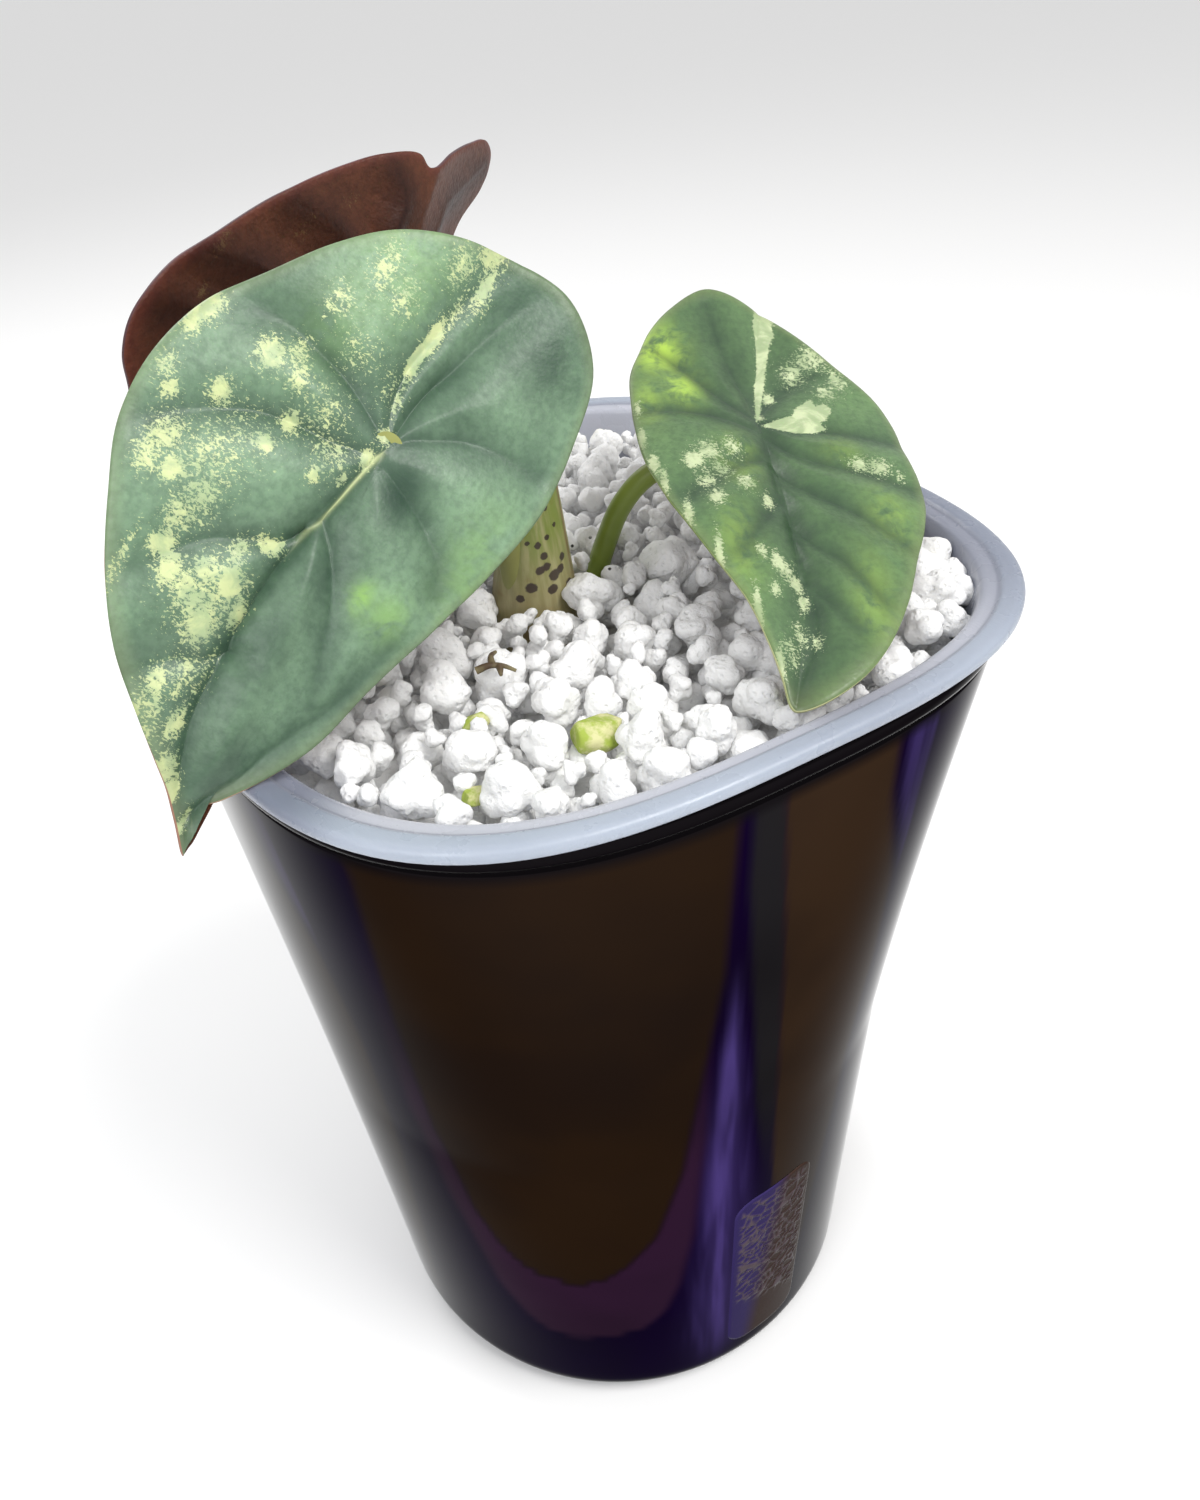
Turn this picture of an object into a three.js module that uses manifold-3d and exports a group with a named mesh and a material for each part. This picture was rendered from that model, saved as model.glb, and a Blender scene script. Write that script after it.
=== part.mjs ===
// Potted nebula alocasia: three leaves on a short stem, a bed of perlite in a
// translucent inner pot, and a tall glossy outer pot with squared, tapered sides.
// Millimetres, +Z up, origin at the centre of the outer pot's flat foot.

import * as THREE from "three";
import { mergeVertices } from "three/addons/utils/BufferGeometryUtils.js";
import Module from "manifold-3d";

const wasm = await Module();
wasm.setup();

// Driving dimensions
const HEIGHT = 168; // top of the inner pot's flange
const RIM_HALF = 63; // half width of the flange, left to right
const DEPTH_RATIO = 1.025; // front to back over left to right
const RIM_POWER = 3.1; // superellipse power of the flange: a squared round
const FOOT_HALF = 50.5; // outer pot just above its rounded foot
const FOOT_FILLET = 6.5;
const BODY_TOP_HALF = 61.9;
const OUTER_WALL = 2;
const OUTER_FLOOR = 2.5;
const FLANGE_WIDTH = 7;
const FLANGE_THICK = 2.2;
const LINER_WALL = 1.5;
const LINER_FLOOR_Z = 30; // underside of the inner pot's floor, above the water
const LINER_FOOT_HALF = 44;
const GAP = 0.3;
const BED_TOP = 158.5; // packed perlite, below the loose top grains
const GRAIN_COUNT = 110;
const BLADE_THICK = 0.9;

// Facets
const POT_SEGMENTS = 48;
const BLADE_SEGMENTS = 56; // two to each outline point
const BLADE_RINGS = 6;
const TUBE_SIDES = 8;

// A seeded random number, so that every build is the same
function makeRandom(seed) {
  let state = seed;
  return () => {
    state = (state + 0x6d2b79f5) | 0;
    let t = Math.imul(state ^ (state >>> 15), 1 | state);
    t = (t + Math.imul(t ^ (t >>> 7), 61 | t)) ^ t;
    return ((t ^ (t >>> 14)) >>> 0) / 4294967296;
  };
}

// Solids: a closed geometry, and the same thing ready for joining and cutting
function toSolid(geometry) {
  const bare = geometry.clone();
  for (const name of ["normal", "uv"]) bare.deleteAttribute(name);
  const merged = mergeVertices(bare, 1e-4);
  const vertProperties = new Float32Array(merged.attributes.position.array);
  const triVerts = new Uint32Array(merged.index.array);
  return new wasm.Manifold(new wasm.Mesh({ numProp: 3, vertProperties, triVerts }));
}

function toGeometry(solid) {
  const mesh = solid.getMesh();
  const geometry = new THREE.BufferGeometry();
  geometry.setAttribute("position", new THREE.BufferAttribute(new Float32Array(mesh.vertProperties), 3));
  geometry.setIndex(new THREE.BufferAttribute(new Uint32Array(mesh.triVerts), 1));
  geometry.computeVertexNormals();
  return geometry;
}

// Rings of points, each a closed loop, skinned in order and closed by a pole at
// either end. Loops run anticlockwise seen from the side that the rings advance to.
function skinRings(firstPole, rings, lastPole) {
  const count = rings[0].length;
  const points = [firstPole, ...rings.flat(), lastPole];
  const faces = [];
  const at = (ring, k) => 1 + ring * count + (k % count);
  const last = points.length - 1;
  for (let k = 0; k < count; k++) {
    faces.push(0, at(0, k + 1), at(0, k));
    for (let ring = 0; ring + 1 < rings.length; ring++) {
      faces.push(at(ring, k), at(ring, k + 1), at(ring + 1, k + 1));
      faces.push(at(ring, k), at(ring + 1, k + 1), at(ring + 1, k));
    }
    faces.push(last, at(rings.length - 1, k), at(rings.length - 1, k + 1));
  }
  const geometry = new THREE.BufferGeometry().setFromPoints(points);
  geometry.setIndex(faces);
  return geometry;
}

// One level of a squared-round section: |x/a|^p + |y/b|^p = 1
function squircle({ half, power, z, x = 0, y = 0, ratio = DEPTH_RATIO }, segments = POT_SEGMENTS) {
  const ring = [];
  for (let k = 0; k < segments; k++) {
    const angle = (2 * Math.PI * k) / segments;
    const c = Math.cos(angle);
    const s = Math.sin(angle);
    const reach = (Math.abs(c) ** power + Math.abs(s) ** power) ** (-1 / power);
    ring.push(new THREE.Vector3(x + half * reach * c, y + half * ratio * reach * s, z));
  }
  return ring;
}

function loft(levels, segments = POT_SEGMENTS) {
  const first = levels[0];
  const last = levels[levels.length - 1];
  const pole = (level) => new THREE.Vector3(level.x ?? 0, level.y ?? 0, level.z);
  const rings = levels.map((level) => squircle(level, segments));
  return skinRings(pole(first), rings, pole(last));
}

// Outer pot: round at the foot and squaring towards the rim
const BODY_TOP = HEIGHT - FLANGE_THICK - GAP;
const SIDE_SAG = 0.4; // the sides are very slightly hollow
const bodyHalf = (z) => {
  const t = (z - FOOT_FILLET) / (BODY_TOP - FOOT_FILLET);
  return FOOT_HALF + (BODY_TOP_HALF - FOOT_HALF) * t - 4 * SIDE_SAG * t * (1 - t);
};
const bodyPower = (z) => {
  const t = z / BODY_TOP;
  return 2.02 + 0.85 * Math.max(0, t * (2 * t - 1));
};

function outerPot() {
  const levels = [];
  const outside = (z, inset = 0) => ({ half: bodyHalf(z) - inset, power: bodyPower(z), z });
  for (const turn of [0, 0.35, 0.7]) {
    const angle = (turn * Math.PI) / 2;
    const inset = FOOT_FILLET * (1 - Math.sin(angle));
    levels.push({ ...outside(FOOT_FILLET, inset), z: FOOT_FILLET * (1 - Math.cos(angle)) });
  }
  for (const z of [FOOT_FILLET, 45, 85, 112, 138, BODY_TOP - 4.5]) levels.push(outside(z));
  // The bead that the flange rests on
  levels.push(outside(BODY_TOP - 3.6, 0.5), outside(BODY_TOP - 2.8, -0.5));
  levels.push(outside(BODY_TOP - 0.9, -0.5), outside(BODY_TOP, 0.2));
  levels.push(outside(BODY_TOP, OUTER_WALL));
  for (const z of [125, 85, OUTER_FLOOR + FOOT_FILLET]) levels.push(outside(z, OUTER_WALL));
  levels.push({ ...outside(FOOT_FILLET, OUTER_WALL + 3), z: OUTER_FLOOR });
  return loft(levels);
}

// Inner pot: a flange over the outer rim, a thin wall and a slotted floor
const linerPower = (z) => 2.05 + 1.05 * (z / HEIGHT) ** 3;
const LINER_TOP_HALF = RIM_HALF - FLANGE_WIDTH;
const linerHalf = (z) => {
  const t = (z - LINER_FLOOR_Z) / (HEIGHT - LINER_FLOOR_Z);
  return LINER_FOOT_HALF + (LINER_TOP_HALF - LINER_FOOT_HALF) * t;
};

function innerPot() {
  const wall = (z, out = 0) => ({ half: linerHalf(z) + out, power: linerPower(z), z });
  const rim = (z, inset) => ({ half: RIM_HALF - inset, power: RIM_POWER, z });
  const under = HEIGHT - FLANGE_THICK;
  const levels = [
    { ...wall(LINER_FLOOR_Z, -2), z: LINER_FLOOR_Z },
    wall(LINER_FLOOR_Z + 3, LINER_WALL),
    wall(100, LINER_WALL),
    wall(under, LINER_WALL),
    rim(under, 0.6),
    rim(under + 0.7, 0),
    rim(HEIGHT - 0.7, 0.1),
    rim(HEIGHT, 0.8),
    rim(HEIGHT, 3),
    rim(HEIGHT - 0.6, 3.5),
    wall(HEIGHT - 0.6),
    wall(100),
    wall(LINER_FLOOR_Z + 4),
    { ...wall(LINER_FLOOR_Z, -3), z: LINER_FLOOR_Z + LINER_WALL },
  ];
  let solid = toSolid(loft(levels));
  const slots = 8;
  for (let k = 0; k < slots; k++) {
    const slot = new THREE.BoxGeometry(18, 3, 8);
    slot.translate(24, 0, LINER_FLOOR_Z);
    slot.rotateZ((2 * Math.PI * k) / slots);
    solid = solid.subtract(toSolid(slot));
  }
  return solid;
}

// The plain hole that the stem and the right leaf's stalk stand in
const HOLE = { x: -0.6, y: 1, half: 11.7, ratio: 0.72, power: 3, floor: 92 };

function plainHole() {
  const level = (z) => ({ ...HOLE, z });
  return toSolid(loft([level(HOLE.floor), level(HEIGHT + 10)], 24));
}

// One perlite grain: a knobbly ball with few faces
function grain(random, radius, place, detail = 0) {
  const geometry = mergeVertices(bareBall(radius, detail), 1e-3);
  const spots = geometry.attributes.position;
  const stretch = [1 + 0.35 * (random() - 0.5), 1 + 0.35 * (random() - 0.5), 0.95];
  for (let k = 0; k < spots.count; k++) {
    const swell = 0.86 + 0.3 * random();
    spots.setXYZ(
      k,
      spots.getX(k) * swell * stretch[0],
      spots.getY(k) * swell * stretch[1],
      spots.getZ(k) * swell * stretch[2],
    );
  }
  geometry.rotateZ(2 * Math.PI * random());
  geometry.rotateX(Math.PI * random());
  geometry.translate(place.x, place.y, place.z);
  return toSolid(geometry);
}

function bareBall(radius, detail) {
  const ball = new THREE.IcosahedronGeometry(radius, detail);
  for (const name of ["normal", "uv"]) ball.deleteAttribute(name);
  return ball;
}

// How far out a spot lies in the bed, from 0 at the middle to 1 at the wall
function bedShare(x, y, margin) {
  const half = linerHalf(BED_TOP) - margin;
  const power = linerPower(BED_TOP);
  return (Math.abs(x / half) ** power + Math.abs(y / (half * DEPTH_RATIO)) ** power) ** (1 / power);
}

function scatterGrains() {
  const random = makeRandom(7);
  const placed = [];
  for (let tries = 0; placed.length < GRAIN_COUNT && tries < 6000; tries++) {
    const radius = 3.7 + 3 * random() ** 2;
    const x = (2 * random() - 1) * 58;
    const y = (2 * random() - 1) * 60;
    if (bedShare(x, y, 1.15 * radius + 0.9) > 1) continue;
    if (Math.abs(x - HOLE.x) < HOLE.half && Math.abs(y - HOLE.y) < HOLE.half * HOLE.ratio) continue;
    const crowded = placed.some((g) => Math.hypot(g.x - x, g.y - y) < 0.7 * (g.radius + radius));
    if (crowded) continue;
    placed.push({ x, y, z: BED_TOP + 0.25 * radius + 0.8 * random(), radius });
  }
  return placed.map((g) => grain(random, g.radius, g));
}

const GREEN_GRAIN = { x: -16.5, y: -38, z: 161, radius: 3.6 };

function perliteBed() {
  const inset = 2 * GAP;
  const level = (z, extra = 0) => ({ half: linerHalf(z) - inset - extra, power: linerPower(z), z });
  const floor = LINER_FLOOR_Z + 5;
  const fill = toSolid(loft([level(floor, 1), level(100), level(BED_TOP)]));
  let bed = wasm.Manifold.union([fill, ...scatterGrains()]);
  bed = bed.subtract(grain(makeRandom(3), GREEN_GRAIN.radius + GAP, GREEN_GRAIN, 1));
  return bed.subtract(plainHole());
}

// A round stalk along a path, tapering from one radius to the other
function stalk(points, startRadius, endRadius, steps = 14, sides = TUBE_SIDES) {
  const curve = new THREE.CatmullRomCurve3(points.map((p) => new THREE.Vector3(...p)), false, "centripetal");
  const { normals, binormals } = curve.computeFrenetFrames(steps, false);
  const rings = [];
  for (let k = 0; k <= steps; k++) {
    const centre = curve.getPointAt(k / steps);
    const radius = startRadius + ((endRadius - startRadius) * k) / steps;
    const ring = [];
    for (let j = 0; j < sides; j++) {
      const angle = (2 * Math.PI * j) / sides;
      ring.push(
        centre
          .clone()
          .addScaledVector(normals[k], radius * Math.cos(angle))
          .addScaledVector(binormals[k], radius * Math.sin(angle)),
      );
    }
    rings.push(ring);
  }
  return skinRings(curve.getPointAt(0), rings, curve.getPointAt(1));
}

// Leaves. Outline points are along the midrib (towards the tip) and across it,
// from the spot where the stalk meets the blade. "facing" is the upper side.
const LEAVES = {
  front: {
    attach: [-31, -17, 200],
    tip: [-71, -29.5, 162],
    facing: [-0.09, -0.92, 0.38],
    halfWidth: 30,
    arch: 9,
    lobeLift: 6,
    droop: 3,
    valley: 1.5,
    fold: 0,
    bow: -6.5,
    turn: -0.2,
    outline: [
      [-28, -4], [-24.5, -10.5], [-19, -16], [-12, -21], [-4.5, -26], [4, -28.5], [12.5, -28.5],
      [20.5, -26], [29, -22.5], [36.5, -18], [42.5, -12.5], [46.5, -8.5], [49.5, -5.5], [53, -2.7],
      [56.5, 0], [53, -1.2], [51.2, -1.6], [48, 1], [44, 4], [37, 8], [28, 11], [19, 14.5],
      [8.5, 18.5], [-4, 22], [-12.5, 22], [-23.5, 20], [-30, 12.5], [-30, 4],
    ],
    stalk: [[-7.4, -0.6, 150], [-7.4, -0.6, 166], [-9.5, -0.6, 180], [-18, -3, 194], [-30.4, -11.5, 198]],
    stalkRadius: [2.6, 2.1],
  },
  right: {
    attach: [32, -11, 185],
    tip: [2.5, -57, 169.6],
    facing: [-0.04, -0.36, 0.93],
    halfWidth: 26,
    arch: 8,
    lobeLift: 22,
    droop: 3,
    valley: 1.8,
    fold: 0,
    bow: 2.5,
    turn: -0.1,
    outline: [
      [-31.5, -6.5], [-27, -12.5], [-22, -16], [-16.5, -18], [-10.5, -19.5], [-1, -19.5], [8, -19],
      [14, -18], [21.5, -15.5], [29.5, -12], [36.5, -8.5], [42.5, -5.5], [48.5, -3.5], [54, -1.8],
      [58, -0.5], [58, 2.5], [54.5, 8], [49, 12.5], [41, 16.5], [33.5, 19], [24.5, 22],
      [16.5, 23.5], [7.5, 23], [-1.5, 22.5], [-8.5, 20.5], [-14.5, 16], [-24, 7], [-29, 1],
    ],
    stalk: [
      [1.5, 1.2, 141], [5.6, 1.5, 147], [7.8, 1.5, 156], [8.4, 1.2, 162], [10, 0.3, 167.5], [12.6, -1, 173.5],
      [16.5, -3, 178], [24, -6, 180.6], [31, -9.2, 181.4],
    ],
    stalkRadius: [2, 1.6],
  },
  back: {
    attach: [-13.5, 18.5, 206],
    tip: [-55, 8, 176.5],
    facing: [-0.25, 0.97, -0.07],
    halfWidth: 28,
    arch: 8,
    lobeLift: 6,
    droop: 4,
    valley: 1.5,
    fold: 0.85,
    bow: -5.5,
    turn: -0.42,
    outline: [
      [52, 0], [47, 11], [41, 19], [35, 25], [32, 29], [27, 31.5], [19, 31], [11, 28], [1, 24],
      [-8.5, 19], [-14, 15.5], [-18, 11.5], [-18, 9], [-24, 5.5], [-31, 0.5], [-36, -4],
      [-36.5, -7.5], [-32, -9], [-23, -7.5], [-17, -9.5], [-10, -16], [-1, -20], [8, -22],
      [16, -21.5], [25, -19], [34, -15], [43, -9], [50, -3],
    ],
    stalk: [[-1.3, 2, 150], [-1.2, 2, 168], [-2, 2, 184], [-6, 5.5, 196], [-12.2, 12.5, 205.5]],
    stalkRadius: [2.7, 2.2],
  },
};

// Lateral veins: where they leave the midrib (share of its length) and the
// bearing of their far end from the stalk (degrees from the tip), on both sides
const VEIN_ROOTS = [0, 0.02, 0.04, 0.24, 0.46, 0.66];
const VEIN_BEARINGS = [160, 118, 82, 52, 31, 17];
const VEIN_HALF_WIDTH = 3.2;
const QUILT = 1; // how far the blade swells between veins
const QUILT_START = 10; // the swelling grows over this distance from the stalk

function leafFrame(leaf) {
  const origin = new THREE.Vector3(...leaf.attach);
  const along = new THREE.Vector3(...leaf.tip).sub(origin);
  const length = along.length();
  along.normalize();
  const up = new THREE.Vector3(...leaf.facing);
  up.addScaledVector(along, -up.dot(along)).normalize();
  const across = new THREE.Vector3().crossVectors(up, along);
  return { origin, along, across, up, length };
}

function outlineCurve(leaf) {
  const corners = leaf.outline.map(([u, v]) => new THREE.Vector3(u, v, 0));
  return new THREE.CatmullRomCurve3(corners, true, "centripetal");
}

// The midrib's sideways place at a distance u along the blade
function midribAcross(leaf, length, u) {
  const share = u / length;
  return share > 0 ? leaf.bow * 4 * share * (1 - share) : leaf.turn * u;
}

function lateralVeins(leaf, length) {
  const margin = outlineCurve(leaf).getPoints(240);
  const veins = [];
  for (const side of [1, -1]) {
    VEIN_ROOTS.forEach((root, k) => {
      const bearing = (side * VEIN_BEARINGS[k] * Math.PI) / 180;
      const heading = new THREE.Vector3(Math.cos(bearing), Math.sin(bearing), 0);
      const end = margin.reduce((best, p) => (heading.angleTo(p) < heading.angleTo(best) ? p : best));
      const start = new THREE.Vector3(root * length, midribAcross(leaf, length, root * length), 0);
      const reach = end.clone().multiplyScalar(0.93);
      const bend = new THREE.Vector3(start.x + 0.3 * (reach.x - start.x), start.y + 0.72 * (reach.y - start.y), 0);
      veins.push(new THREE.QuadraticBezierCurve3(start, bend, reach).getPoints(10));
    });
  }
  return veins;
}

function distanceToVeins(veins, u, v) {
  const here = new THREE.Vector3(u, v, 0);
  const near = new THREE.Vector3();
  let best = Infinity;
  for (const vein of veins) {
    for (let k = 0; k + 1 < vein.length; k++) {
      new THREE.Line3(vein[k], vein[k + 1]).closestPointToPoint(here, true, near);
      best = Math.min(best, near.distanceTo(here));
    }
  }
  return best;
}

// Height of the blade's middle layer over the flat leaf plane
function bladeHeight(leaf, length, veins, u, v) {
  const share = u / length;
  const w = v - midribAcross(leaf, length, u);
  const lengthwise = share > 0 ? leaf.arch * share * (1 - share) : leaf.arch * share + leaf.lobeLift * share ** 2;
  const droop = leaf.droop * (w / leaf.halfWidth) ** 2;
  const valley = leaf.valley * (1 - Math.exp(-Math.abs(w) / 6));
  const fold = leaf.fold * (0.5 * (Math.hypot(w, 3) - w) - 1.5);
  const groove = Math.exp(-((distanceToVeins(veins, u, v) / VEIN_HALF_WIDTH) ** 2));
  const rib = Math.exp(-((w / VEIN_HALF_WIDTH) ** 2));
  const swell = QUILT * Math.min(1, Math.hypot(u, v) / QUILT_START);
  return lengthwise - droop + valley + fold - swell * Math.max(groove, 0.8 * rib);
}

function bladeGeometry(leaf) {
  const { origin, along, across, up, length } = leafFrame(leaf);
  const veins = lateralVeins(leaf, length);
  const place = (u, v) =>
    origin
      .clone()
      .addScaledVector(along, u)
      .addScaledVector(across, v)
      .addScaledVector(up, bladeHeight(leaf, length, veins, u, v));
  const margin = outlineCurve(leaf).getPoints(BLADE_SEGMENTS).slice(0, BLADE_SEGMENTS);
  const spots = [{ u: 0, v: 0 }];
  for (let ring = 1; ring <= BLADE_RINGS; ring++) {
    const share = ring / BLADE_RINGS;
    for (const edge of margin) spots.push({ u: edge.x * share, v: edge.y * share });
  }
  const step = 0.6;
  const layers = [1, -1].map((side) =>
    spots.map(({ u, v }) => {
      const slopeU = place(u + step, v).sub(place(u - step, v));
      const slopeV = place(u, v + step).sub(place(u, v - step));
      const normal = slopeU.cross(slopeV).normalize();
      return place(u, v).addScaledVector(normal, (side * BLADE_THICK) / 2);
    }),
  );
  const count = BLADE_SEGMENTS;
  const total = spots.length;
  const at = (ring, k) => 1 + (ring - 1) * count + (k % count);
  const faces = [];
  const both = (a, b, c) => faces.push(a, b, c, total + a, total + c, total + b);
  for (let k = 0; k < count; k++) {
    both(0, at(1, k), at(1, k + 1));
    for (let ring = 1; ring < BLADE_RINGS; ring++) {
      both(at(ring, k), at(ring + 1, k), at(ring + 1, k + 1));
      both(at(ring, k), at(ring + 1, k + 1), at(ring, k + 1));
    }
    const a = at(BLADE_RINGS, k);
    const b = at(BLADE_RINGS, k + 1);
    faces.push(a, total + a, total + b, a, total + b, b);
  }
  const geometry = new THREE.BufferGeometry().setFromPoints(layers.flat());
  geometry.setIndex(faces);
  return geometry;
}

function leafStalk(leaf, extra = 0) {
  const { origin, up } = leafFrame(leaf);
  const end = origin.clone().addScaledVector(up, -0.2).toArray();
  const [thick, thin] = leaf.stalkRadius;
  const points = [...leaf.stalk, end];
  if (extra > 0) points[0] = [points[0][0], points[0][1], points[0][2] - extra];
  return toSolid(stalk(points, thick + extra, thin + extra));
}

function leafSolid(leaf) {
  return toSolid(bladeGeometry(leaf)).add(leafStalk(leaf));
}

// Stem base: roots, corm and the sheaths that hold the stalks, one grown piece
const CORM = { x: -4, y: 1 };
const STEM_LEVELS = [
  // height, radius, sideways place
  [127, 3, -4],
  [130, 6, -4],
  [137, 7.2, -4],
  [145, 7, -4],
  [151, 7.6, -4],
  [161, 7.4, -4],
  [170, 6.2, -3.4],
  [178, 5, -2.8],
  [186, 3.9, -2.4],
];

function stemBase() {
  const levels = STEM_LEVELS.map(([z, half, x]) => ({ x, y: CORM.y, z, half, ratio: 1, power: 2 }));
  const body = toSolid(loft(levels, 18));
  const roots = [];
  const rootCount = 6;
  for (let k = 0; k < rootCount; k++) {
    const angle = (2 * Math.PI * k) / rootCount;
    const c = Math.cos(angle);
    const s = Math.sin(angle);
    const path = [
      [CORM.x + 3 * c, CORM.y + 3 * s, 134],
      [CORM.x + 5.6 * c, CORM.y + 4.6 * s, 126],
      [CORM.x + 1 + 7 * c, CORM.y + 5 * s, 112],
      [CORM.x + 3 + 6.5 * c, CORM.y + 5 * s, 99 - 3 * (k % 2)],
    ];
    roots.push(toSolid(stalk(path, 1.1, 0.7, 6, 5)));
  }
  let stem = wasm.Manifold.union([body, ...roots]);
  for (const leaf of Object.values(LEAVES)) stem = stem.subtract(leafStalk(leaf, GAP));
  return stem;
}

// The assembly
const part = new THREE.Group();

function addPiece(name, shape, color, roughness, metalness = 0, opacity = 1) {
  const geometry = shape.isBufferGeometry ? shape : toGeometry(shape);
  const material = new THREE.MeshStandardMaterial({ color, roughness, metalness });
  material.opacity = opacity;
  material.transparent = opacity < 1;
  const mesh = new THREE.Mesh(geometry, material);
  mesh.name = name;
  part.add(mesh);
}

addPiece("outer_pot", outerPot(), 0x2a1a24, 0.08, 0.3);
addPiece("inner_pot", innerPot(), 0xb4bcc8, 0.3, 0, 0.6);
addPiece("perlite_bed", perliteBed(), 0xeceae6, 0.95);
addPiece("green_grain", grain(makeRandom(3), GREEN_GRAIN.radius, GREEN_GRAIN, 1), 0xc8cc7a, 0.9);
addPiece("stem_base", stemBase(), 0xb0a868, 0.5);
addPiece("leaf_front", leafSolid(LEAVES.front), 0x4f8062, 0.4);
addPiece("leaf_back", leafSolid(LEAVES.back), 0x4a201c, 0.45);
addPiece("leaf_right", leafSolid(LEAVES.right), 0x477a3c, 0.35);

export default part;
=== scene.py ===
# %% [markdown]
# # Potted nebula alocasia
# A young plant with three shield-shaped leaves stands in white perlite. The perlite fills a
# milky inner pot, and that hangs by its flange in a tall, very glossy outer pot.
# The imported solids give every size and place. This lesson loads them as a fixed frame and
# builds the looks around them, in metres, so nothing has to be fitted by eye.

import math
import random

import bmesh
import bpy
import numpy as np
from mathutils import Matrix, Vector

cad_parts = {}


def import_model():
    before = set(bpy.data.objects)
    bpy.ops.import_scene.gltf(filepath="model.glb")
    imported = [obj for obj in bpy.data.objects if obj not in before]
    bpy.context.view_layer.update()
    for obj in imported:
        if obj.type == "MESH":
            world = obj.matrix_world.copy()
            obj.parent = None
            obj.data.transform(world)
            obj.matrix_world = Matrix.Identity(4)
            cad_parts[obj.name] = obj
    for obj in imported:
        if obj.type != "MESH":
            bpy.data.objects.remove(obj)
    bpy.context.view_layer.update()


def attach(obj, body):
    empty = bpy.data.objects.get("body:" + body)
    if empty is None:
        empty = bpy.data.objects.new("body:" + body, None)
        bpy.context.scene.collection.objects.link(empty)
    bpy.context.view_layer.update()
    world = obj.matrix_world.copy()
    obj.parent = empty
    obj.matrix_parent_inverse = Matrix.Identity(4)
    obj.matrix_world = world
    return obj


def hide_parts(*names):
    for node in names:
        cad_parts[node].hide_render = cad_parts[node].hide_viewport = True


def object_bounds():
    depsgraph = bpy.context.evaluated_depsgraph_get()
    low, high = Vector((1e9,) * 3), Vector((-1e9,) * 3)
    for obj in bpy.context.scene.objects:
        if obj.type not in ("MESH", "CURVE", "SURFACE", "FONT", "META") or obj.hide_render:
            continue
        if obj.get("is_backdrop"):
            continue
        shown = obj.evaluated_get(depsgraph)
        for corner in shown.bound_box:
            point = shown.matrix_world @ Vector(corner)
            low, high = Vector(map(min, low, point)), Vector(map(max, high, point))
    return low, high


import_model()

# %% [markdown]
# ## The view
# The photo is taken from above the rim at the front left, with a phone's wide lens held close.
# A camera is placed by a point and three directions: where it looks, its right and its up.
# The lens comes from the angle of view, and a tiny shift centres the picture.

# %% The camera
camera_data = bpy.data.cameras.new("view")
camera_data.lens = 28.596
camera_data.shift_x = -0.0033
camera_data.shift_y = -0.0077
camera_data.clip_start = 0.01
camera_data.clip_end = 60
camera = bpy.data.objects.new("view", camera_data)
scene = bpy.context.scene
scene.collection.objects.link(camera)
scene.camera = camera


def aim_camera(place, azimuth, elevation, roll):
    """Azimuth 0 looks along +Y. Angles are in degrees."""
    a, e, r = (math.radians(x) for x in (azimuth, elevation, roll))
    ahead = Vector((-math.sin(a) * math.cos(e), math.cos(a) * math.cos(e), -math.sin(e)))
    level = ahead.cross(Vector((0, 0, 1))).normalized()
    upright = level.cross(ahead)
    right = level * math.cos(r) + upright * math.sin(r)
    up = upright * math.cos(r) - level * math.sin(r)
    turn = Matrix((right, up, -ahead)).transposed().to_4x4()
    camera.matrix_world = Matrix.Translation(place) @ turn


aim_camera(Vector((-0.0809, -0.1530, 0.2559)), azimuth=-29.708, elevation=35.815, roll=-4.739)
print("camera height in metres:", round(camera.matrix_world.translation.z, 3))

# %% [markdown]
# ## A recipe of nodes
# Every finish below is a recipe: noise, masks and mixes that end in one Principled shader. Node
# trees get long when each node takes four lines, so a small class adds a node, feeds its inputs
# with values or links, and gives back the output. The same class builds Geometry Nodes trees.

# %% A class that adds nodes
class Recipe:
    """Adds nodes to one tree."""

    def __init__(self, tree):
        self.tree = tree

    def feed(self, socket, value):
        """Links a socket to another one, or sets its plain value."""
        if isinstance(value, bpy.types.NodeSocket):
            self.tree.links.new(value, socket)
        elif socket.type == "RGBA":
            socket.default_value = (*value, 1)
        else:
            socket.default_value = value

    def add(self, kind, inputs=(), **settings):
        """A new node. Its inputs are given by name or by number."""
        node = self.tree.nodes.new(kind)
        for key, value in settings.items():
            setattr(node, key, value)
        for key, value in dict(inputs).items():
            self.feed(node.inputs[key], value)
        return node

    def maths(self, operation, *values, clamp=False):
        node = self.add("ShaderNodeMath", enumerate(values), operation=operation, use_clamp=clamp)
        return node.outputs[0]

    def ends(self, *rows):
        """Sockets of a node group, in rows of direction, kind and names; gives its two ends."""
        for in_out, kind, names in rows:
            for name in names.split(", "):
                self.tree.interface.new_socket(name, in_out=in_out, socket_type="NodeSocket" + kind)
        return self.add("NodeGroupInput").outputs, self.add("NodeGroupOutput").inputs


def public_names(kind):
    return ", ".join(name for name in vars(kind) if not name.startswith("_"))


print("a recipe can:", public_names(Recipe))

# %% [markdown]
# ## Patterns for a finish
# A finish is mixed from a handful of patterns: soft noise, cells, numbers that are stored on
# the mesh, and soft steps that turn any of them into a mask. Each becomes one short method. On
# pots, stem and perlite they read the object's own coordinates, and on leaves their flat place.

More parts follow.
